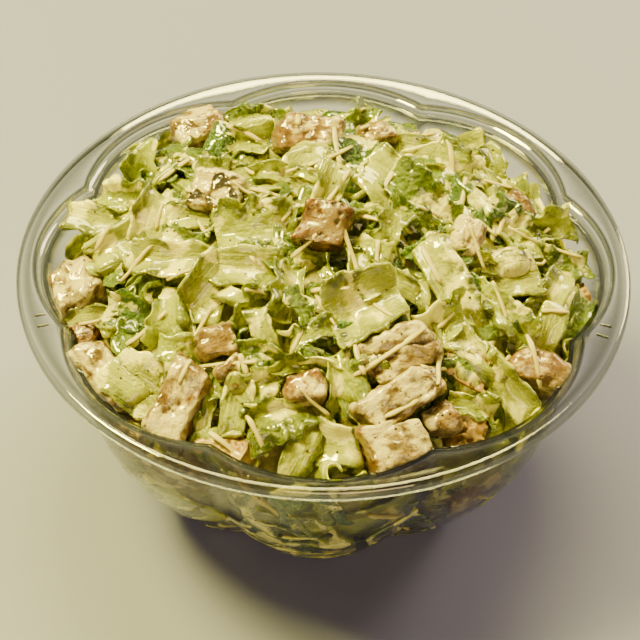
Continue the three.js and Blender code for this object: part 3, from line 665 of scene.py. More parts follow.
# %% Leaves on top
top_leaves = [
    (-83, 22, 29, 13, -14, 30, 0, 1, "rib"),
    (-71, 52, 28, 17, 82, 62, -10, 3, "heart"),
    (-72, 28, 21, 13, -8, 42, 0, 4, "heart"),
    (-61, 2, 23, 17, 62, 32, -15, 3, "rib"),
    (-72, -7, 25, 18, 35, 40, 12, 4, "rib"),
    (-40, 27, 17, 10, 5, 30, 0, 3, "heart"),
    (-36, 46, 17, 13, -30, 30, 8, 3, "dark"),
    (-26, 45, 19, 15, 10, 35, 0, 3, "heart"),
    (-20, 19, 14, 10, 10, 38, 10, 4, "heart"),
    (-27, 75, 24, 11, 5, 40, 0, 2, "green"),
    (-24, -11, 27, 19, 10, 28, 5, 3, "heart"),
    (-46, 0, 18, 11, 8, 25, 0, 2, "rib"),
    (-48, -10, 18, 8, -18, 35, 0, 3, "green"),
    (-52, -19, 27, 16, -8, 30, -8, 2, "rib"),
    (-38, -33, 24, 17, 60, 36, 12, 4, "rib"),
    (-27, -29, 20, 16, -5, 30, 0, 2, "rib"),
    (-25, -44, 23, 10, 68, 40, 15, 4, "heart"),
    (-13, -38, 18, 16, 82, 35, -8, 3, "heart"),
    (-52, -42, 19, 14, 80, 38, -10, 3, "heart"),
    (-66, -34, 18, 12, -12, 30, 0, 3, "dark"),
    (-80, -29, 24, 9, -3, 30, -10, 2, "rib"),
    (-47, -55, 17, 12, -5, 40, 5, 4, "heart"),
    (14, 67, 14, 14, 70, 50, 5, 4, "green"),
    (29, 44, 22, 10, -8, 30, 0, 2, "rib"),
    (1, 7, 20, 11, 75, 32, 12, 3, "rib"),
    (10, 14, 14, 8, 80, 45, -20, 3, "dark"),
    (22, 14, 23, 19, -35, 25, 8, 2, "rib"),
    (36, 5, 35, 16, -36, 28, 14, 3, "green"),
    (30, -4, 20, 10, -25, 40, 0, 4, "green"),
    (38, 36, 18, 13, 20, 30, 5, 3, "rib"),
    (47, 32, 22, 18, -15, 32, 12, 4, "heart"),
    (62, 43, 24, 11, -62, 42, 20, 3, "heart"),
    (69, 28, 18, 9, -70, 40, 25, 2, "heart"),
    (63, 9, 18, 15, -30, 35, 15, 3, "dark"),
    (84, 24, 21, 15, 25, 55, 5, 6, "heart"),
    (82, 1, 27, 11, 10, 32, 5, 3, "green"),
    (72, 1, 17, 11, -12, 30, 10, 4, "heart"),
    (66, -17, 19, 15, 25, 30, 10, 3, "rib"),
    (54, -15, 19, 8, -12, 38, 5, 2, "heart"),
    (22, -12, 23, 10, 68, 35, 5, 4, "heart"),
    (43, -30, 35, 14, -55, 30, 10, 3, "rib"),
    (61, -33, 28, 12, -42, 30, 8, 3, "heart"),
    (77, -21, 28, 12, 66, 38, 18, 4, "rib"),
    (90, -24, 22, 16, 75, 50, 30, 3, "green"),
    (14, -44, 26, 25, 28, 34, 4, 2, "rib"),
    (24, -32, 19, 8, -25, 30, 0, 3, "rib"),
    (-62, -59, 21, 19, -35, 36, -6, 2, "rib"),
    (-22, -60, 16, 12, 10, 36, 0, 4, "green"),
    (-9, -62, 24, 12, -12, 38, 0, 4, "heart"),
    (-4, -52, 19, 8, 18, 30, 0, 3, "heart"),
    (-19, -69, 19, 12, 25, 40, 0, 4, "heart"),
    (-28, -75, 22, 10, 80, 45, -5, 2, "rib"),
    (-12, -80, 25, 17, 20, 42, 5, 5, "heart"),
    (-39, -75, 19, 8, 70, 45, -15, 3, "heart"),
    (-6, -87, 21, 11, 65, 50, 0, 3, "rib"),
    (7, -85, 18, 14, -10, 40, 0, 3, "rib"),
    (8, -68, 22, 13, -72, 40, 15, 5, "heart"),
    (40, -43, 18, 15, 35, 32, 8, 3, "heart"),
    (56, -56, 37, 13, -42, 36, 10, 3, "rib"),
    (50, -68, 18, 12, -8, 42, 8, 3, "heart"),
    (56, -73, 13, 10, 20, 40, 5, 4, "rib"),
    (67, -66, 18, 11, 10, 38, 12, 2, "rib"),
    (77, -34, 22, 10, 84, 42, 20, 3, "rib"),
]
for seed, (x, y, length, width, turn, lean, side, curl, kind) in enumerate(top_leaves):
    lift = 0.3 * width * math.sin(math.radians(min(lean, 60))) - 1
    centre, rotation = (x, y, float(heap_height(x, y)) + lift), turned(lean, side, turn)
    lay_leaf(centre, rotation, length, width, kind, curl, 1000 + 20 * seed, cell=0.75, ceiling=11)
print(len(top_leaves), "leaves on top")

# %% [markdown]
# The rest of the heap is filled by rule. A spiral with the golden angle spreads pieces evenly. A deep layer lies under
# the chosen leaves, so that every gap shows more salad, a second layer fills what they leave bare, such as the back,
# and small cuttings lie between. Each follows the dome's slope, tipped by a random amount. What lies deeper or shows
# less has a coarser grid.

# %% Leaves by rule
golden = math.pi * (3 - math.sqrt(5))
kind_names = list(leaf_looks)
taken = [row[:2] for row in top_leaves] + [(low + high)[:2] / 2 for _, low, high in chunk_trees.values()]


def slope_at(x, y):
    """The lean and side angles of the dome at a place, in degrees."""
    step = 0.5
    back = float(heap_height(x, y + step) - heap_height(x, y - step)) / (2 * step)
    right = float(heap_height(x + step, y) - heap_height(x - step, y)) / (2 * step)
    return math.degrees(math.atan(back)), -math.degrees(math.atan(right))


def spiral(i, count, reach, start=0.0):
    """The place of one of count things that are spread evenly over a disc."""
    radius = reach * math.sqrt((i + 0.5) / count)
    return radius * math.cos(i * golden + start), radius * math.sin(i * golden + start)


def fill_heap(count, reach, clear, lift, spread, cell, seed, shares, lengths, widths):
    """Lays one layer over the dome, but not where something is placed already, and says how many leaves it has."""
    draws = np.random.default_rng(seed)
    made = 0
    for i in range(count):
        x, y = spiral(i, count, reach, seed)
        kind = draws.choice(kind_names, p=shares)
        length, width = draws.uniform(*lengths), draws.uniform(*widths)
        turn, tip, tilt, curl, height = draws.uniform([-90, -spread, -spread, 1, 0], [90, spread, spread, 5, 1])
        if any(math.hypot(place[0] - x, place[1] - y) < clear for place in taken):
            continue
        lean, side = slope_at(x, y)
        lean += 22 * smooth_step(10, 60, y)  # at the back they stand up
        centre = (x, y, float(heap_height(x, y)) + lift[0] + (lift[1] - lift[0]) * height)
        rotation = turned(lean + tip, side + tilt, turn)
        lay_leaf(centre, rotation, length, width, kind, curl, seed * 5000 + i * 20, cell, lift[1] + 2)
        made += 1
    return made


# how many, how far out, how far from what lies there, over the dome from and to, how tipped, the grid's cell, the seed,
# the shares of the kinds, and the lengths and widths
layers = {
    "leaves below": (190, 86, 0, (-8, -4), 38, 1.6, 2, (0.24, 0.34, 0.28, 0.14), (17, 27), (10, 18)),
    "leaves between": (120, 84, 11, (-4, 0), 38, 1.05, 3, (0.26, 0.34, 0.28, 0.12), (19, 29), (12, 20)),
    "small cuttings": (90, 84, 6, (-2, 2), 34, 1.0, 5, (0.08, 0.44, 0.34, 0.14), (10, 18), (4, 8)),
}
for title, numbers in layers.items():
    print(fill_heap(*numbers), title)

# %% [markdown]
# All round, leaves lie against the clear wall and on the base. They are laid in staggered rings, facing outwards, and
# draping presses them onto the plastic. Every other one lies a little behind, so that the wall shows some depth, and
# where a cube of chicken or bread touches the wall they keep behind it.

# %% Leaves against the wall and the base
ring_step, leaf_step = 7.6, 20
wall_cell, base_cell = 1.8, 2.0
base_leaves, base_reach = 46, 62


def fill_wall(draws, seed):
    made = 0
    for ring, z in enumerate(np.arange(6, rim_height - 5, ring_step)):
        around = int(2 * math.pi * float(wall_inside(z, 0)) / leaf_step)
        for i in range(around):
            angle = (i + 0.5 * (ring % 2) + draws.uniform(-0.25, 0.25)) * 2 * math.pi / around
            full_to = heap_edge - 7 + 15 * max(0, math.cos(angle)) ** 0.5  # the salad lies higher along the front
            height = max(z + draws.uniform(-3, 3), 4)
            if height > full_to:
                continue
            radius = float(wall_inside(height, angle)) + draws.uniform(-3.5, 0.5)
            slope = float(wall_inside(height + 2, angle) - wall_inside(height - 2, angle)) / 4
            out = Vector((math.sin(angle), -math.cos(angle), -slope)).normalized()
            level = Vector((math.cos(angle), math.sin(angle), 0))
            facing = Matrix((level, out.cross(level), out)).transposed()
            tip = turned(*draws.uniform([-20, -20, -90], [20, 20, 90]))
            centre = (radius * math.sin(angle), -radius * math.cos(angle), height)
            length, width = draws.uniform(22, 36), draws.uniform(15, 25)
            kind = draws.choice(kind_names, p=[0.32, 0.36, 0.22, 0.1])
            tuck = draws.uniform(1.2, 4) if (i + ring) % 2 else draws.uniform(0, 0.15)
            shape = (length, width, kind, draws.uniform(-2, 3), seed * 9000 + made * 20, wall_cell)
            gaps = [tree.find_nearest(Vector(centre))[3] for tree, _, _ in chunk_trees.values()]
            if min(gaps) < 4 + 0.3 * length:
                if height > heap_edge - 12:
                    continue  # nothing covers a cube at the edge of the heap
                tuck = 4  # lower down, a cube against the wall shows through it, and the leaves lie behind it
            lay_leaf(centre, np.array(facing) @ tip, *shape, ceiling=9, tuck=tuck)
            made += 1
    return made


def fill_base(draws, seed):
    for i in range(base_leaves):
        centre = (*spiral(i, base_leaves, base_reach), draws.uniform(1.5, 4))
        facing = turned(180 + draws.uniform(-8, 8), draws.uniform(-8, 8), draws.uniform(-90, 90))
        kind = draws.choice(kind_names, p=[0.4, 0.3, 0.2, 0.1])
        lay_leaf(centre, facing, 24, 17, kind, -1.0, seed * 7000 + i * 20, base_cell)
    return base_leaves


outer_draws = np.random.default_rng(4)
print(fill_wall(outer_draws, 4), "leaves against the wall,", fill_base(outer_draws, 4), "on the base")
for kind, pile in piles.items():
    keep(pile.build("romaine_" + kind, leaf_materials[kind]), "romaine")

# %% [markdown]
# Grilled chicken breast is cut in cubes, so most faces show pale meat whose fibres run one way, and one face kept the
# brown of the grill, with a few charred spots. Dressing covers it in a thin film. The shader reads where the brown, the
# char and the dressing are from the mesh, and where the meat gets painted shade in its crack and torn places, and
# follows the fibres through coordinates that are turned with each cube.
# The shape is the CAD's own: Remesh gives it small even faces, Smooth softens its corners, and each point is then
# moved a little along its normal, but never into the bowl's wall.

# %% Chicken
def dressed_chicken():
    """Cooked breast meat: moist and slightly see-through, so it takes some subsurface light, and a satin wet film. The
    fibres are 2 mm wide and 5 long, the blotches 5 mm across, the fine grain 1.7 and the specks of pepper under 1."""
    m = new_material("grilled chicken breast, dressed")
    local = add_node(m, "Attribute", {"attribute_name": "local"}, out="Vector")
    sear, char, coat, cavity = (
        add_node(m, "Attribute", {"attribute_name": key}, out="Fac") for key in ("sear", "char", "coat", "cavity")
    )
    along = add_node(m, "Mapping", Vector=local, Scale=(0.22, 0.45, 0.45))
    fibre = add_node(m, "TexNoise", Vector=along, Scale=1.0, Detail=5.0, Roughness=0.6)
    blotch = add_node(m, "TexNoise", Vector=local, Scale=0.22, Detail=3.0, Roughness=0.6)
    fine = add_node(m, "TexNoise", Vector=local, Scale=0.6, Detail=5.0, Roughness=0.7)
    meat = add_node(m, "ValToRGB", stops=((0.34, "#4f3a1d"), (0.5, "#7c6537"), (0.64, "#aa9160")), Fac=fibre)
    toast = add_node(m, "ValToRGB", stops=((0.35, "#523010"), (0.5, "#81571f"), (0.65, "#a27c40")), Fac=blotch)
    # painted shade: the meat is darker in its crack and torn places
    meat = add_node(m, "Mix", mixing, out=2, Factor=cavity, _6=meat, _7="#4a3319")

    browned = add_node(m, "Math", scale_and_add, _0=fine, _1=1.2, _2=sear)
    colour = cover(m, meat, toast, browned, 0.9, 1.4, 0.9)
    burnt = add_node(m, "Math", scale_and_add, _0=fine, _1=1.2, _2=char)
    colour = cover(m, colour, "#211e1e", burnt, 1.05, 1.3, 0.92)
    film = add_node(m, "Math", scale_and_add, _0=blotch, _1=1.2, _2=coat)
    film = add_node(m, "Math", scale_and_add, _0=fibre, _1=0.9, _2=film)
    colour = cover(m, colour, "#e6d89c", film, 1.47, 1.93, 0.82, smooth)
    specks = add_node(m, "TexVoronoi", Vector=local, Scale=0.38, Randomness=1.0)
    colour = cover(m, colour, "#33281e", specks, 0.17, 0.12, 0.9)

    height = add_node(m, "Math", add, _0=fibre, _1=fine)
    bump = add_node(m, "Bump", Strength=1.0, Distance=0.0014, Height=height)
    moist = {"Base_Color": colour, "Roughness": 0.3, "IOR": 1.43, "Normal": bump}
    light = {"Subsurface_Weight": 0.12, "Subsurface_Radius": (1.0, 0.75, 0.4), "Subsurface_Scale": 0.002}
    shader = add_node(m, "BsdfPrincipled", Coat_Weight=1.0, Coat_Roughness=0.08, **moist, **light)
    add_node(m, "OutputMaterial", Surface=shader)
    return m


chicken_finish = dressed_chicken()


def copy_chunk(node, voxel, softening):
    """A copy of a CAD node's mesh in small even faces, with its corners softened."""
    piece = bpy.data.objects.new("dressed_" + node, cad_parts[node].data.copy())
    piece.data.name = piece.name
    piece.data.materials.clear()
    bpy.context.scene.collection.objects.link(piece)
    only(piece)
    bpy.ops.object.mode_set(mode="EDIT")
    bpy.ops.mesh.select_all(action="SELECT")
    bpy.ops.mesh.remove_doubles(threshold=0.00001)
    bpy.ops.object.mode_set(mode="OBJECT")
    remesh = piece.modifiers.new("even faces", "REMESH")
    remesh.mode, remesh.voxel_size = "VOXEL", voxel * MM
    bpy.ops.object.modifier_apply(modifier=remesh.name)
    soften = piece.modifiers.new("soft corners", "SMOOTH")
    soften.factor, soften.iterations = 0.6, softening
    bpy.ops.object.modifier_apply(modifier=soften.name)
    bpy.ops.object.shade_smooth()
    return piece


def chunk_arrays(piece):
    """The points, normals and turned coordinates of a chunk, in millimetres, with its length along the first."""
    count = len(piece.data.vertices)
    points, normals = np.zeros(count * 3), np.zeros(count * 3)
    piece.data.vertices.foreach_get("co", points)
    piece.data.vertex_normals.foreach_get("vector", normals)
    points, normals = points.reshape(-1, 3) / MM, normals.reshape(-1, 3)
    centred = points - points.mean(axis=0)
    _, axes = np.linalg.eigh(centred.T @ centred)
    return points, normals, centred @ axes[:, ::-1]


def write_chunk(piece, points, material, **values):
    """Gives a chunk its new points, held inside the bowl, its material and its values."""
    piece.data.vertices.foreach_set("co", (hold_inside(points, gap=0.3) * MM).ravel())
    set_values(piece.data, values)
    piece.data.materials.append(material)
    piece.data.update()


# where the grill's brown lies (a direction), how brown, how charred, and how much dressing
chicken_looks = {
    "chicken_back": ((-0.3, -0.3, 0.9), 0.6, 0.25, 0.45),
    "chicken_charred": ((0.0, -0.6, 0.8), 0.35, 1.7, 0.75),
    "chicken_left": ((0.9, -0.2, -0.2), 0.7, 0.0, 0.5),
    "chicken_left_front": ((0.3, -0.9, 0.0), 0.5, 0.3, 0.55),
    "chicken_strip": ((0.8, -0.6, 0.2), 0.9, 0.1, 0.4),
    "chicken_front_brown": ((0, -0.6, 0.8), 0.9, 0.2, 0.3),
    "chicken_slice_upper": ((0.9, -0.2, 0.2), 0.4, 0.2, 0.5),
    "chicken_slice_lower": ((0.8, 0.0, 0.4), 0.3, 0.2, 0.55),
    "chicken_cube": ((-0.6, -0.5, 0.0), 0.55, 0.2, 0.45),
    "chicken_right_front": ((-0.4, -0.2, 0.9), 0.7, 0.4, 0.3),
}


def dress_chicken(node, seed):
    """Roughens one cube with fibres, a crack, torn places and lumps, and marks where it is brown or coated and where
    its crack and torn places get painted shade.
    """
    towards, brown, black, cream_share = chicken_looks.get(node, ((0.6, -0.3, 0.6), 0.45, 0.1, 0.5))
    piece = copy_chunk(node, voxel=0.62, softening=30)
    points, normals, local = chunk_arrays(piece)
    towards = np.array(towards) / np.linalg.norm(towards)
    stretched = local * (0.7, 1, 1)
    fibres = wobble(stretched, 2.0, seed) + 0.6 * wobble(stretched, 1.1, seed + 1)
    split = local[:, 1] + 0.8 * wobble(local, 7, seed + 2) - 1.5 + 3 * (seed % 2)
    crack = np.exp(-((split / 0.55) ** 2)) * smooth_step(-0.2, 0.6, wobble(local, 9, seed + 3))
    torn = smooth_step(0.1, 0.9, wobble(local, 4.5, seed + 4)) + 0.5 * smooth_step(0, 0.9, wobble(local, 2.0, seed + 9))
    crumb = wobble(local, 1.5, seed + 10)
    lumps = 0.8 * wobble(local, 7, seed + 5) + 0.4 * wobble(local, 3, seed + 11)
    moved = 0.1 * fibres - 0.9 * crack - 0.35 * torn + lumps + 0.15 * crumb + 0.35
    # where the crack and torn places get painted shade in the material
    cavity = np.clip(0.55 * torn + 0.9 * crack - 0.25 * fibres - 0.1, 0, 1)
    facing = normals @ towards
    sear = brown * smooth_step(0.2, 0.65, facing + 0.15 * wobble(local, 5, seed + 6))
    char = black * smooth_step(0.5, 0.9, facing - 0.35 + 0.5 * wobble(local, 4, seed + 7))
    coat = cream_share + 0.3 * wobble(local, 8, seed + 8) + 0.2 * np.maximum(normals[:, 2], 0)
    coat = coat - 0.4 * cavity - 0.7 * char
    points = points + normals * moved[:, None]
    shifted = local + 40.0 * (seed % 13)
    write_chunk(piece, points, chicken_finish, local=shifted, sear=sear, char=char, coat=coat, cavity=cavity)
    keep(piece, "chicken", node)


for seed, node in enumerate(n for n in chunk_names if n.startswith("chicken")):
    dress_chicken(node, 300 + 11 * seed)

# %% [markdown]
# Croutons are cubes of bread fried or baked until brown. Their faces are open crumb, so they are full of small holes,
# and the dressing has soaked into some of them. The one on top and the one at the left are darker and shine with oil.

# %% Croutons
def crouton_material(name, dark, brown, light, roughness, film_share):
    """Toasted bread: a dry brown crust round an open crumb, with oil and dressing on it. Its browner patches are
    4 mm across and its crumb 0.6."""
    m = new_material(name)
    local = add_node(m, "Attribute", {"attribute_name": "local"}, out="Vector")
    pit, coat = (add_node(m, "Attribute", {"attribute_name": key}, out="Fac") for key in ("pit", "coat"))
    patch = add_node(m, "TexNoise", Vector=local, Scale=0.28, Detail=5.0, Roughness=0.65)
    fine = add_node(m, "TexNoise", Vector=local, Scale=1.6, Detail=3.0, Roughness=0.7)
    crust = add_node(m, "ValToRGB", stops=((0.32, dark), (0.5, brown), (0.68, light)), Fac=patch)
    # painted shade: the pits take the darkest crust colour
    colour = add_node(m, "Mix", mixing, out=2, Factor=pit, _6=crust, _7=dark)
    film = add_node(m, "Math", scale_and_add, _0=fine, _1=1.2, _2=coat)
    colour = cover(m, colour, "#c7b374", film, 1.05, 1.5, film_share)
    bump = add_node(m, "Bump", Strength=0.6, Distance=0.0006, Height=fine)
    crumb = {"Base_Color": colour, "Roughness": roughness, "IOR": 1.45, "Normal": bump}
    shader = add_node(m, "BsdfPrincipled", Coat_Weight=1 - roughness, Coat_Roughness=0.15, **crumb)
    add_node(m, "OutputMaterial", Surface=shader)
    return m


golden_crouton = crouton_material("golden crouton, dressed", "#6a4a15", "#97742e", "#b49651", 0.5, 0.6)
dark_crouton = crouton_material("dark oily crouton", "#2a1606", "#553309", "#845b1e", 0.2, 0.2)
dark_ones, hole_count = ("crouton_top", "crouton_left"), 110


def bake_crouton(node, seed):
    """Sinks open holes and wrinkles into one cube of bread, and marks the pits, which get painted shade, and the
    dressing.
    """
    piece = copy_chunk(node, voxel=0.55, softening=6)
    points, normals, local = chunk_arrays(piece)
    draws = np.random.default_rng(seed)
    holes = points[draws.integers(0, len(points), hole_count)]
    widest = 0.55 if node in dark_ones else 1.0
    sizes = draws.uniform(0.3, widest, hole_count) * draws.uniform(1, 1.5, hole_count) ** 2
    depth = np.zeros(len(points))
    uneven = 1 + 0.35 * wobble(local, 1.4, seed + 4)
    for hole, size in zip(holes, sizes):
        near = np.linalg.norm(points - hole, axis=1) / size * uneven
        depth = np.maximum(depth, size * 0.75 * (1 - smooth_step(0.45, 1.1, near)))
    wrinkles = np.abs(wobble(local, 2.2, seed + 1))
    points = points + normals * (0.5 * wobble(local, 5, seed + 2) - depth - 0.35 * wrinkles - 0.1)[:, None]
    coat = 0.35 + 0.45 * wobble(local, 6, seed + 3) + 0.15 * np.maximum(normals[:, 2], 0)
    material = dark_crouton if node in dark_ones else golden_crouton
    # the depth of the pits, for their painted shade
    pit, shifted = smooth_step(0.1, 0.9, depth), local + 30.0 * (seed % 11)
    write_chunk(piece, points, material, local=shifted, pit=pit, coat=coat)
    keep(piece, "crouton", node)


for seed, node in enumerate(n for n in chunk_names if n.startswith("crouton")):
    bake_crouton(node, 700 + 13 * seed)

# %% [markdown]
# Parmesan and ground pepper come last, as in the kitchen, so they have to land on whatever lies on top. A search tree
# over everything made so far answers where a straight line down first meets the salad.

# %% Where things land
def tree_over(objects):
    points, faces = [], []
    for o in objects:
        start = len(points)
        points.extend(v.co / MM for v in o.data.vertices)
        faces.extend(tuple(start + i for i in f.vertices) for f in o.data.polygons)
    return BVHTree.FromPolygons(points, faces)


bpy.context.view_layer.update()
salad_tree = tree_over(p for name, p in pieces.items() if name not in ("clear_bowl", "romaine_core"))
drop_height, down = 200, Vector((0, 0, -1))


def land(x, y):
    """The place and normal where something dropped at x, y meets the salad."""
    spot, normal, _, _ = salad_tree.ray_cast(Vector((x, y, drop_height)), down)
    return (spot, normal) if spot else (Vector((x, y, float(heap_height(x, y)))), Vector((0, 0, 1)))


print("the peak of the salad is at", round(land(0, 5)[0].z, 1), "mm")

# %% [markdown]
# Parmesan is grated into strips about two millimetres wide. The longest are listed: x, y, length, turn.
# The others are drawn by rule, and some lie between the leaves and the wall. Each shred on top samples the height of
# the salad along its length and lies on it with a slight bend.

# %% Parmesan
def parmesan_material():
    """Hard grated cheese: a dense, fatty, nearly opaque solid, with a waxy sheen and a dry cut surface."""
    m = new_material("grated parmesan")
    coords = add_node(m, "TexCoord", out="Object")
    patch = add_node(m, "TexNoise", Vector=coords, Scale=160, Detail=3.0)  # 6 mm across
    colour = add_node(m, "ValToRGB", stops=((0.3, "#b0a458"), (0.6, "#c2b671"), (0.8, "#ccc38d")), Fac=patch)
    bump = add_node(m, "Bump", Strength=0.3, Distance=0.0004, Height=patch)
    waxy = {"Base_Color": colour, "Roughness": 0.38, "IOR": 1.46, "Normal": bump}
    light = {"Subsurface_Weight": 0.3, "Subsurface_Radius": (1.0, 0.8, 0.5), "Subsurface_Scale": 0.0015}
    add_node(m, "OutputMaterial", Surface=add_node(m, "BsdfPrincipled", **waxy, **light))
    return m


shreds, shred_reach = Pile(), 93
along_shred = np.linspace(-1, 1, 9)


def add_shred(path, width, thick):
    """A strip of four sides along a path of points in millimetres, thinner at its ends."""
    path = np.asarray(path)
    run = np.gradient(path, axis=0)
    run /= np.linalg.norm(run, axis=1, keepdims=True)
    flat = np.cross(run, (0, 0, 1))
    flat /= np.maximum(np.linalg.norm(flat, axis=1, keepdims=True), 1e-6)
    upright = np.cross(flat, run)
    share = np.linspace(-1, 1, len(path))
    size = ((1 - 0.25 * np.abs(share) ** 9) * (1 + 0.16 * np.sin(6 * share + width * 9)))[:, None]
    rings = [
        path + flat * (a * width / 2 * size) + upright * (b * thick / 2 * size)
        for a, b in ((-1, -0.7), (-0.6, 1), (0.7, 0.9), (1, -0.8))
    ]
    points = np.stack(rings, axis=1).reshape(-1, 3)
    last = 4 * (len(path) - 1)
    faces = [(0, 1, 2, 3), (last + 3, last + 2, last + 1, last)]
    for k in range(len(path) - 1):
        for j in range(4):
            a, b = 4 * k + j, 4 * k + (j + 1) % 4
            faces.append((a, a + 4, b + 4, b))
    shreds.add(points, [tuple(reversed(f)) for f in faces])


def lay_shred(x, y, length, turn, seed):
    draws, share = np.random.default_rng(seed), along_shred
    angle = math.radians(turn)
    bend = draws.uniform(-0.04, 0.04) * length
    out = np.stack([share * length / 2, bend * (share**2 - 0.5)], -1)
    xs = x + out[:, 0] * math.cos(angle) - out[:, 1] * math.sin(angle)
    ys = y + out[:, 0] * math.sin(angle) + out[:, 1] * math.cos(angle)
    reach = np.hypot(xs, ys).max()
    if reach > shred_reach:
        xs, ys = xs * shred_reach / reach, ys * shred_reach / reach
    heights = np.array([land(a, b)[0].z for a, b in zip(xs, ys)])
    straight = np.polyfit(share, heights, 1)
    straight[0] = np.clip(straight[0], -0.3 * length, 0.3 * length)  # nothing stands on end
    line = np.polyval(straight, share)
    curve = line + 0.3 * np.clip(np.polyval(np.polyfit(share, heights - line, 2), share), -4, 4)
    curve += np.quantile(heights - curve, 0.7) + 0.2
    add_shred(np.stack([xs, ys, curve], -1), draws.uniform(1.4, 2.2), draws.uniform(0.6, 0.9))


long_shreds = [
    (-40, 34, 18, -24),
    (-2, 26, 28, 34),
    (49, 18, 12, 80),
    (54, 8, 17, -42),
    (78, 4, 27, -4),
    (28, 52, 16, 34),
    (-1, -40, 26, -68),
    (22, -61, 27, 30),
    (38, -63, 15, 86),
    (71, -50, 16, -74),
    (-28, -86, 19, -30),
    (-31, -62, 20, -14),
    (-55, 34, 15, 42),
    (-18, 6, 16, -12),
    (8, -22, 26, -66),
    (-64, -28, 18, -20),
]
for seed, row in enumerate(long_shreds):
    lay_shred(*row, 40 + seed)
draws = np.random.default_rng(41)
short_shreds, wall_shreds = 60, 22
for i in range(short_shreds):
    lay_shred(*spiral(i, short_shreds, 86, 1.1), draws.uniform(6, 15), draws.uniform(-90, 90), 100 + i)
for i in range(wall_shreds):
    angle, height = draws.uniform(0, 2 * math.pi), draws.uniform(12, rim_height - 12)
    tilt, length = draws.uniform(-1.4, 1.4), draws.uniform(9, 22)
    zs = np.clip(height + along_shred * length / 2 * math.sin(tilt), 4, rim_height - 6)
    turns = angle + along_shred * length / 2 * math.cos(tilt) / 85
    radii = wall_inside(zs, turns) - 1.2
    add_shred(np.stack([radii * np.sin(turns), -radii * np.cos(turns), zs], -1), draws.uniform(1.8, 2.6), 1.2)
keep(shreds.build("parmesan_shreds", parmesan_material()), "romaine")

# %% [markdown]
# Ground black pepper is cracked grains about a millimetre across. Each is a small uneven lump of twenty faces, and
# there are hundreds, so they stay that simple.

# %% Pepper
def pepper_material():
    """Cracked peppercorn: dry, dark and matt, wetted by the dressing in places."""
    m = new_material("cracked black pepper")
    coords = add_node(m, "TexCoord", out="Object")
    patch = add_node(m, "TexNoise", Vector=coords, Scale=700, Detail=2.0)  # 1.4 mm across
    colour = add_node(m, "ValToRGB", stops=((0.35, "#17130f"), (0.6, "#3a2f25"), (0.75, "#6a5a45")), Fac=patch)
    add_node(m, "OutputMaterial", Surface=add_node(m, "BsdfPrincipled", Base_Color=colour, Roughness=0.55))
    return m


def grain_shape():
    bpy.ops.object.select_all(action="DESELECT")
    bpy.ops.mesh.primitive_ico_sphere_add(subdivisions=1, radius=1)
    grain = bpy.context.object
    shape = np.array([v.co[:] for v in grain.data.vertices]), [tuple(f.vertices) for f in grain.data.polygons]
    bpy.data.objects.remove(grain)
    return shape


grain_points, grain_faces = grain_shape()
pepper, grain_count, pepper_reach = Pile(), 330, 90
draws = np.random.default_rng(51)
for i in range(grain_count):
    radius, angle = pepper_reach * math.sqrt(draws.uniform()), draws.uniform(0, 2 * math.pi)
    spot, normal = land(radius * math.cos(angle), radius * math.sin(angle))
    size = draws.uniform(0.22, 0.62) * np.array([1.0, draws.uniform(0.6, 1.0), draws.uniform(0.5, 0.9)])
    facing = np.array(normal.to_track_quat("Z", "Y").to_matrix()) @ turned(0, 0, draws.uniform(-90, 90))
    uneven = grain_points * draws.uniform(0.75, 1.2, (len(grain_points), 1)) * size
    pepper.add(uneven @ facing.T + np.array(spot + normal * 0.1), grain_faces)
keep(pepper.build("black_pepper", pepper_material()), "romaine")

# %% [markdown]
# The bowl stands on a pale plain floor, and the light is a studio's: a warm soft key high behind on the left, which
# makes the wet leaves glint, a wide window of light above, a weak light on the rim from behind on the right, a wide
# fill from the front, and a dim warm surround. The board is a little blue, so that it looks grey under the warm lights.
# None of this is part of the salad.

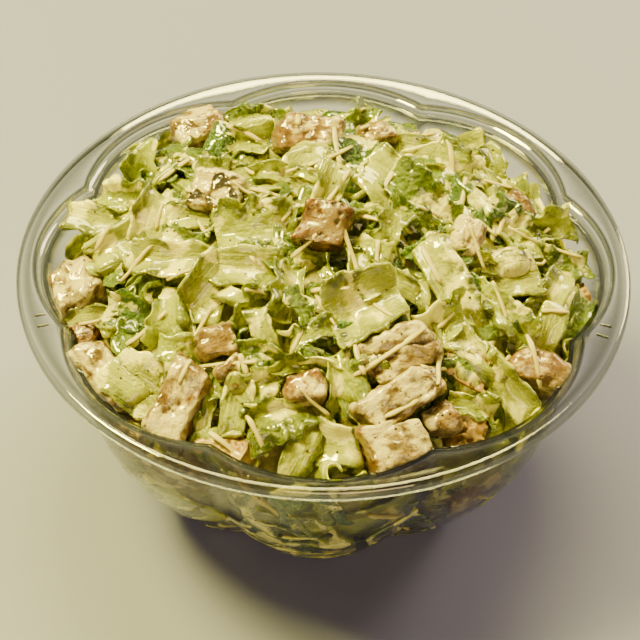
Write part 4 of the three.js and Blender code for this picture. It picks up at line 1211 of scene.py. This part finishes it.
# %% Floor and light
def painted_board():
    m = new_material("pale matt board")
    add_node(m, "OutputMaterial", Surface=add_node(m, "BsdfPrincipled", Base_Color="#7478b8", Roughness=0.6))
    return m


bpy.ops.object.select_all(action="DESELECT")
bpy.ops.mesh.primitive_plane_add(size=6)  # metres
floor = bpy.context.object
floor.name = "studio_floor"
floor.data.materials.append(painted_board())
aim = Vector((0, 0, 0.08))  # near the top of the bowl


def soft_light(name, place, size, watts, colour):
    """A rectangle of light, in metres, turned to the bowl."""
    bpy.ops.object.light_add(type="AREA", location=place)
    lamp = bpy.context.object
    lamp.name = name
    lamp.data.shape, lamp.data.size, lamp.data.size_y = "RECTANGLE", *size
    lamp.data.energy, lamp.data.color = watts, linear(colour)[:3]
    lamp.rotation_euler = (aim - Vector(place)).to_track_quat("-Z", "Y").to_euler()


soft_light("key_behind_left", (-0.95, 0.3, 1.65), (0.5, 0.5), 176, "#ffee68")
soft_light("rim_right_behind", (0.8, 0.7, 0.5), (0.4, 0.4), 13, "#ffe6a0")
soft_light("window_above", (0.1, 0.7, 1.5), (1.0, 0.4), 52, "#ffee8a")
soft_light("fill_front", (0.2, -1.2, 0.7), (0.9, 0.6), 10, "#ffdc92")
world = bpy.data.worlds.new("dim warm surround")
bpy.context.scene.world = world
world.use_nodes = True
background = world.node_tree.nodes["Background"]
background.inputs["Color"].default_value, background.inputs["Strength"].default_value = linear("#eccd8c"), 0.036

# %% [markdown]
# The camera looks down on the middle of the rim at 43 degrees from 0.65 metres, with a lens long enough that the round
# rim keeps its shape. It is rolled by one degree, as a camera held by hand is.

# %% Camera
camera_place, camera_target = (0, -0.4754, 0.5313), (-0.001, -0.0149, 0.072)
lens, sensor, roll = 103.1, 36, 1.0  # millimetres, and degrees
bpy.ops.object.camera_add(location=camera_place)
camera = bpy.context.object
look = (Vector(camera_target) - Vector(camera_place)).to_track_quat("-Z", "Y")
camera.rotation_mode = "QUATERNION"
camera.rotation_quaternion = look @ Euler((0, 0, math.radians(roll))).to_quaternion()
camera.data.lens, camera.data.sensor_width = lens, sensor
bpy.context.scene.camera = camera
print("camera at", camera_place)

# %% Finish
bpy.context.view_layer.update()
